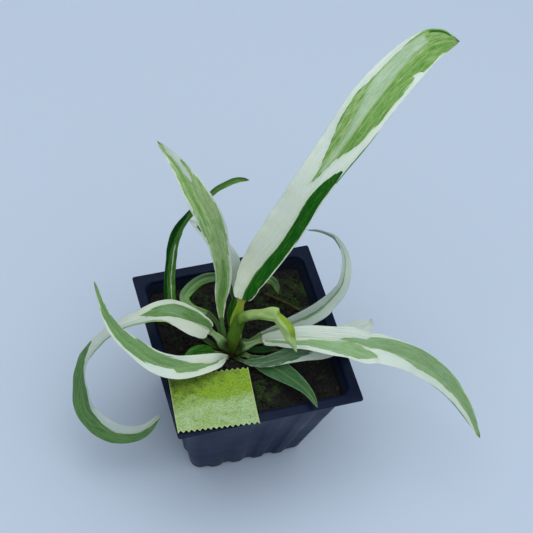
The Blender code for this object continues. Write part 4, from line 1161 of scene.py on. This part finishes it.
def leaf_outline(name, half, flat, run):
    """Half width, bladeness and backward reach at each station, and the joint's place.

    The blade's base grows from the stalk's width as a quarter circle where it has lobes, and as a
    pointed curve where it has none. Its tip narrows as a square root. The stalk swells before the
    joint, and there the base's sides reach back, most of all half way to their full width.
    """
    joint = run[int(np.argmax(flat > 0.1))]
    stalk_half = half[int(np.argmax(flat > 0.02))]
    base = BASES.get(name, 5.0)
    past = np.clip((run - joint) / base, 0, 1)
    full = np.interp(joint + base, run, half)
    pointed = (past * (1.3 - 0.3 * past)) ** POINTED.get(name, 1)
    growth = np.sqrt(1 - (1 - past) ** 2) if name in LOBES else pointed
    rounded = stalk_half + (full - stalk_half) * growth
    half = np.where((run > joint) & (past < 1), rounded, half)
    half = np.where((run <= joint) & (flat > 0), stalk_half, half)
    flat = smooth_step(run, joint - 1.4, joint + 0.3)
    half = half * np.sqrt(np.clip((run[-1] - run) / TIP_LENGTH, 0.0, 1.0) * 0.98 + 0.02)
    knuckle = KNUCKLE_SWELL * np.exp(-((run - joint + 1.0) / KNUCKLE_LENGTH) ** 2) * (1 - flat)
    lobe = np.sin(math.pi * np.clip((half - stalk_half) / (full - stalk_half), 0, 1)) * (past < 1)
    return half * (1 + knuckle), flat, LOBES.get(name, 0.2) * lobe, joint


def skin_points(ring, ahead):
    """A skin's rings in a row, its foot's middle, and its tip's middle moved ahead."""
    return np.concatenate((ring.reshape(-1, 3), ring[0].mean(0)[None], ring[-1].mean(0)[None] + ahead))


def layer_grid(values, shape):
    """Three values at each point of a grid, each an array or a number, as vectors."""
    return np.stack([np.broadcast_to(value, shape) for value in values], -1)


def skin_layer(grid):
    """A skin's vectors in the order of its points."""
    return np.concatenate((grid.reshape(-1, 3), grid[0, :1], grid[-1, :1]))


def leaf_surface(name, index, thickness):
    """Closed skin of a leaf, from the station along its midrib and the share across it.

    The upper side rises from the midrib to the margins in a soft V and ripples more towards them.
    The lower side lies one thickness below, which falls to nought at the margins as in a quarter
    circle, with a keel under the midrib. On the stalk the two sides are half circles, pressed
    flatter, and the upper one is grooved.
    """
    _, _, fold, wave, _ = LEAVES[name]
    spine, half, turn, flat, run = leaf_rows(name)
    along, across, normal = leaf_axes(spine, turn)
    length = run[-1]
    half, flat, back, joint = leaf_outline(name, half, flat, run)
    half, flat, back, run = (values[:, None] for values in (half, flat, back, run))

    place = np.linspace(-1, 1, ACROSS_POINTS)
    share = 0.6 * place + 0.4 * np.sin(place * math.pi / 2)
    back = back * np.abs(share) ** 1.5
    percent = (run - back) * 100 / length
    middle = np.interp(run * 100 / length, *np.array(MIDRIBS.get(name, ((0, 0), (100, 0))), float).T)
    offset = share - middle
    side = np.where(offset > 0, offset / (1 - middle), -offset / (1 + middle))
    ripple = wave * np.sin(2 * math.pi * (run / RIPPLE_LENGTH + 0.2 * share)) * share ** 2
    frill = 0.16 * waves(run, 30.0 * np.sign(share) + 7.0 * index, 9, 40 + index) * side ** 3
    slope = math.tan(math.radians(fold))
    rise = half * slope * (np.sqrt(side ** 2 + 0.0036) - 0.06 - 0.12 * side ** 4) + (ripple + frill) * flat
    from_rib, rim = half * offset, half * (1 - np.abs(share))
    rise = rise - FURROW_DEPTH * np.exp(-(from_rib / FURROW_REACH) ** 2) * np.minimum(1, half / 3)
    body = thickness + np.minimum(half / 5, 0.7) * np.exp(-(from_rib / KEEL_REACH) ** 2)
    deep = np.minimum(body, half) * np.sqrt(1 - (1 - np.clip(rim / MARGIN_ROUND, 0, 1)) ** 2)

    bow = share * math.pi / 2
    groove = 0.5 * half * np.exp(-(share / 0.4) ** 2)
    x = flat * share * half + (1 - flat) * np.sin(bow) * half
    upper = flat * rise + (1 - flat) * (STALK_FLATNESS * np.cos(bow) * half - groove)
    lower = flat * (rise - deep) - (1 - flat) * STALK_FLATNESS * np.cos(bow) * half
    sides = [spine[:, None] + x[..., None] * across[:, None] + z[..., None] * normal[:, None]
             - back[..., None] * along[:, None] for z in (upper, lower)]
    ring = np.concatenate((sides[0], sides[1][:, -2:0:-1]), 1)
    points = skin_points(ring, TIP_POINT * along[-1:])

    green, depth, sheen, ragged = leaf_paint(name, percent, share, half, length)
    stalk = 1 - smooth_step(flat, 0.3, 0.7)
    warm = WARMTH.get(name, 0.55) * np.clip(1 - (run - joint) / (0.5 * length), 0, 1)
    brown = BROWN_TIPS.get(name, 0.25) * smooth_step(run, length - 4, length - 0.5)
    brown = brown + 0.5 * np.exp(-((run - joint + 0.9) / 0.5) ** 2)
    yellow = STALK_TINTS.get(name, 0.35) * smooth_step(run, -1, 4)
    flange = np.abs(0.72 - np.abs(share)) * half + 0.1
    plain = NO_LINE * (name in PLAIN)
    layers = {
        "place": (run + STREAK_SHIFT * index, from_rib + NO_LINE * (1 - flat) + plain * np.sign(from_rib),
                  rim * flat + flange * (1 - flat) + plain),
        "paint": (green, depth, sheen),
        # The second value of state greys the upper side of leaves in shade as painted shade
        "state": (np.maximum(stalk, warm), PAINTED_SHADE.get(name, 0.0), np.clip(brown, 0, 1)),
        "tint": (yellow, ragged, float(name == "leaf_tall")),
    }
    attributes = {}
    for key, values in layers.items():
        top = layer_grid(values, green.shape)
        below = top[:, -2:0:-1].copy()
        if key == "state":
            below[..., 1] = 1.0
        attributes[key] = skin_layer(np.concatenate((top, below), 1))
    return points, closed_faces(*ring.shape[:2]), attributes


class PLANT_OT_leaves(bpy.types.Operator):
    """Make every open leaf with its stalk"""

    bl_idname = "plant.leaves"
    bl_label = "Leaves"

    def execute(self, context):
        settings = context.scene.plant_leaf
        skin = leaf_skin(settings)
        for index, name in enumerate(LEAVES):
            if name != "leaf_new":
                points, faces, attributes = leaf_surface(name, index, settings.thickness / MM)
                add_piece(name.replace("leaf", "blade"), points, faces, skin, name, attributes)
        return {"FINISHED"}


def new_leaf_surface():
    """The leaf that is still rolled: a tube whose radius grows once round and drops at the roll's edge.

    The roll's edge turns slowly round the tube. Past the bend the blade's upper corner stands up
    as a flap, and from there the roll opens into a trough that narrows to a flat tip. At the foot
    it is wide, where a sheath wraps it.
    """
    spine, _, turn, _, run = leaf_rows("leaf_new")
    along, across, normal = leaf_axes(spine, turn)
    run = (run - run[0])[:, None]
    length = run[-1, 0]
    half = np.interp(100 * run / length, *np.array(NEW_LEAF_WIDTHS, float).T) / 2
    angle = round_angles(NEW_LEAF_COLUMNS)
    edge = np.mod((angle + 0.5 - run * 0.02) / (2 * math.pi), 1.0)
    roll = 1 + 0.14 * (edge - 0.5) + 0.03 * np.sin(2 * angle + run * 0.2)
    corner = NEW_LEAF_CORNER * length
    beyond = smooth_step(run, corner, corner + 1.0)
    upper = np.exp(-((angle - 2.75) / 0.45) ** 2)
    flap = smooth_step(run, corner - 10, corner) ** 1.5 * (1 - beyond) * upper
    dent = beyond * (1 - smooth_step(run, corner + 2, corner + 9)) * upper
    radius = half * (roll + 0.8 * flap - 0.45 * dent)
    flatness = 1 - 0.45 * smooth_step(run, corner, length)
    trough = 0.55 * half * beyond * np.exp(-((angle - 2.1) / 0.55) ** 2)
    x = radius * np.cos(angle)
    waver = 0.35 * waves(run, 4.0 * np.cos(angle), 8, 71)
    waver = waver * smooth_step(run, 12, 20) * (1 - smooth_step(run, length - 6, length))
    z = radius * np.sin(angle) * flatness - trough + waver
    ring = spine[:, None] + x[..., None] * across[:, None] + z[..., None] * normal[:, None]
    points = skin_points(ring[:, ::-1], NEW_TIP_POINT * along[-1:])
    sheath = 1 - smooth_step(run, 0.32 * length, 0.54 * length)
    inner = beyond * (1 - smooth_step(run, corner + 11, corner + 14)) * np.exp(-((angle - 2.5) / 0.75) ** 4)
    # Painted shade: a darker green strip beside the roll's edge, where that edge stands over the layer below
    # it
    painted_edge_shade = np.exp(-((edge - 0.03) / 0.03) ** 2) * (1 - beyond)
    tip = smooth_step(run, length - 9, length)
    depth = 0.95 * sheath + 0.7 * inner + 0.35 * painted_edge_shade + 0.05
    brown = 0.5 * np.exp(-((run - 8) / 1.2) ** 2)
    layers = {"place": (run, angle * half, NO_LINE), "paint": (6.0, depth, 0.5 * tip),
              "state": (0.7 + 0.03 * (1 - sheath) + 0.3 * inner, 0.0, brown), "tint": (1.0, 0.1, sheath)}
    shape = ring.shape[:2]
    attributes = {key: skin_layer(layer_grid(values, shape)[:, ::-1]) for key, values in layers.items()}
    return points, closed_faces(*shape), attributes


class PLANT_OT_new_leaf(bpy.types.Operator):
    """Make the new leaf, still rolled, with the sheath at its foot"""

    bl_idname = "plant.new_leaf"
    bl_label = "New leaf"

    def execute(self, context):
        settings = context.scene.plant_leaf
        points, faces, attributes = new_leaf_surface()
        add_piece("rolled_leaf", points, faces, leaf_skin(settings), "leaf_new", attributes)
        return {"FINISHED"}


def crown_surface():
    """Short stem as a turned profile with upright folds, and rings where old leaves came away."""
    radii, levels = (np.array(column) for column in zip(*STEM_PROFILE))
    z = np.linspace(levels[0], levels[-1], CROWN_RINGS)[:, None]
    angle = round_angles(CROWN_COLUMNS)
    folds = (1 + 0.03 * np.sin(7 * angle + 0.2 * z)) * (1 + 0.03 * np.sin(z * 2.4 + np.sin(angle)))
    radius = np.interp(z, levels, radii) * folds
    ring = np.stack((CROWN_X + radius * np.cos(angle), CROWN_Y + radius * np.sin(angle), z + 0 * angle), -1)
    poles = [(CROWN_X, CROWN_Y, CROWN_PROFILE[0][1]), (CROWN_X, CROWN_Y, CROWN_PROFILE[-1][1])]
    points = np.concatenate((ring.reshape(-1, 3), poles))
    tone = np.zeros_like(points)
    tone[:, 0] = smooth_step(points[:, 2], 62, 74)
    return points, closed_faces(CROWN_RINGS, CROWN_COLUMNS), {"tone": tone}


class PLANT_OT_crown(bpy.types.Operator):
    """Make the short stem that carries the leaves"""

    bl_idname = "plant.crown"
    bl_label = "Crown"

    def execute(self, context):
        points, faces, tone = crown_surface()
        stops = ((0.0, linear("#1d1a0e")), (0.35, linear("#3a3418")), (0.7, linear("#4a5a20")),
                 (1.0, linear("#5f7a2a")))
        add_piece("crown_stem", points, faces, shaded("sheathed_stem", stops, 0.5, 400.0, 0.15),
                  "crown", tone)
        return {"FINISHED"}


# Tape


def tape_surface():
    """Strip of tape: a thin slab on a grid, its two ends cut in teeth, its front end curled up."""
    columns = TAPE_TEETH * TOOTH_POINTS + 1
    x = np.linspace(-TAPE_WIDTH / 2, TAPE_WIDTH / 2, columns)
    tooth = TOOTH_DEPTH * np.abs(np.mod(np.arange(columns) / (TOOTH_POINTS / 2) + 1, 2) - 1)
    front, back = -TAPE_DEPTH / 2 + tooth, TAPE_DEPTH / 2 - tooth
    share = (0.5 - 0.5 * np.cos(np.linspace(0, math.pi, TAPE_ROWS)))[:, None]
    y = front + (back - front) * share
    curl = TAPE_LIFT * np.clip(1 - share / 0.3, 0, 1) ** 2
    crinkle = 0.05 * waves(x, y, 7, 61) + 0.03 * waves(x, y, 2.2, 62)
    level = POT_HEIGHT + GAP + curl + np.clip(crinkle, -0.1, 0.1) + 0.1
    turn = math.radians(TAPE_TURN)
    world = [TAPE_CENTRE[0] + x * math.cos(turn) - y * math.sin(turn),
             TAPE_CENTRE[1] + x * math.sin(turn) + y * math.cos(turn)]
    rim = np.minimum(np.minimum(y - front, back - y), TAPE_WIDTH / 2 - np.abs(x) + 0 * y)
    thick = TAPE_SWELL * np.sqrt(np.clip(rim / 0.15, 0, 1)) + 0.02
    grids = [np.stack((world[0] + 0 * y, world[1] + 0 * y, level + z), -1)
             for z in (thick, -TAPE_BELOW + 0 * thick)]
    points = np.concatenate([grid.reshape(-1, 3) for grid in grids])
    size = TAPE_ROWS * columns
    top = grid_faces(TAPE_ROWS, columns, False)
    index = np.arange(size).reshape(TAPE_ROWS, columns)
    border = np.concatenate((index[0, :-1], index[:-1, -1], index[-1, :0:-1], index[:0:-1, 0]))
    after = np.roll(border, -1)
    wall = np.stack((border, border + size, after + size, after), 1)
    layer = np.stack((x + 0 * y, y, rim), -1).reshape(-1, 3)
    return points, [top, top[:, ::-1] + size, wall], {"place": np.concatenate((layer, layer))}


class PLANT_OT_tape(bpy.types.Operator):
    """Make the strip of bare paper tape on the rim"""

    bl_idname = "plant.tape"
    bl_label = "Paper tape"

    def execute(self, context):
        points, faces, place = tape_surface()
        wash = paper(context.scene.plant_tape)
        add_piece("paper_tape", points, faces, wash, "label_tape", place)
        return {"FINISHED"}


# Stage


class PLANT_OT_stage(bpy.types.Operator):
    """Lay the floor, hang the lights and place the camera"""

    bl_idname = "plant.stage"
    bl_label = "Stage"

    def execute(self, context):
        settings = context.scene.plant_stage
        scene = context.scene
        material, _, shader = new_material("matt_board", 0.7)
        shader.inputs["Base Color"].default_value = (*settings.floor, 1.0)
        bpy.ops.mesh.primitive_plane_add(size=6.0)
        floor = context.object
        floor.name = "floor"
        floor.data.materials.append(material)

        world = bpy.data.worlds.new("overcast")
        scene.world = world
        world.use_nodes = True
        sky = world.node_tree.nodes["Background"]
        sky.inputs["Color"].default_value = (*linear("#e2eeff"), 1.0)
        sky.inputs["Strength"].default_value = settings.sky
        for name, place, size, share in (("window", (-0.1, 0.1, 1.2), 0.7, 0.25),
                                         ("ceiling", (0.1, -0.1, 1.25), 2.3, 1.75)):
            data = bpy.data.lights.new(name, "AREA")
            data.size = size
            data.energy = settings.power * share
            data.color = linear("#fdfdff")
            lamp = bpy.data.objects.new(name, data)
            scene.collection.objects.link(lamp)
            lamp.location = place
            lamp.rotation_euler = (Vector((0, 0, 0.08)) - Vector(place)).to_track_quat("-Z", "Y").to_euler()

        a, e, r = (math.radians(angle) for angle in (CAMERA_AZIMUTH, CAMERA_ELEVATION, CAMERA_ROLL))
        back = Vector((math.sin(a) * math.cos(e), -math.cos(a) * math.cos(e), math.sin(e)))
        right = Vector((math.cos(a), math.sin(a), 0))
        up = back.cross(right)
        right, up = math.cos(r) * right + math.sin(r) * up, math.cos(r) * up - math.sin(r) * right
        data = bpy.data.cameras.new("camera")
        data.lens = CAMERA_LENS
        camera = bpy.data.objects.new("camera", data)
        scene.collection.objects.link(camera)
        camera.matrix_world = Matrix.Translation((Vector(CAMERA_TARGET) + back * CAMERA_DISTANCE) * MM) @ \
            Matrix((right, up, back)).transposed().to_4x4()
        scene.camera = camera
        scene.view_settings.view_transform = "Standard"
        return {"FINISHED"}


STEPS = (PLANT_OT_stage, PLANT_OT_pot, PLANT_OT_soil, PLANT_OT_moss, PLANT_OT_crown, PLANT_OT_leaves,
         PLANT_OT_new_leaf, PLANT_OT_tape)
GROUPS = {"plant_pot": PotSettings, "plant_soil": SoilSettings, "plant_leaf": LeafSettings,
          "plant_tape": TapeSettings, "plant_stage": StageSettings}


class PLANT_PT_panel(bpy.types.Panel):
    """Buttons for every piece, and the settings"""

    bl_idname = "PLANT_PT_panel"
    bl_label = "Potted philodendron"
    bl_space_type = "VIEW_3D"
    bl_region_type = "UI"
    bl_category = "Plant"

    def draw(self, context):
        for step in STEPS:
            self.layout.operator(step.bl_idname)
        for key, group in GROUPS.items():
            box = self.layout.box()
            for name in group.__annotations__:
                box.prop(getattr(context.scene, key), name)


def register():
    """Make the classes and settings known to Blender."""
    for group in GROUPS.values():
        bpy.utils.register_class(group)
    for step in STEPS:
        bpy.utils.register_class(step)
    bpy.utils.register_class(PLANT_PT_panel)
    for key, group in GROUPS.items():
        setattr(bpy.types.Scene, key, PointerProperty(type=group))


def unregister():
    """Take the classes and settings away again."""
    for key in GROUPS:
        delattr(bpy.types.Scene, key)
    bpy.utils.unregister_class(PLANT_PT_panel)
    for step in reversed(STEPS):
        bpy.utils.unregister_class(step)
    for group in reversed(GROUPS.values()):
        bpy.utils.unregister_class(group)


def main():
    """Make every piece."""
    register()
    bpy.ops.plant.stage()
    bpy.ops.plant.pot()
    bpy.ops.plant.soil()
    bpy.ops.plant.moss()
    bpy.ops.plant.crown()
    bpy.ops.plant.leaves()
    bpy.ops.plant.new_leaf()
    bpy.ops.plant.tape()
    bpy.context.view_layer.update()


if __name__ == "__main__":
    main()
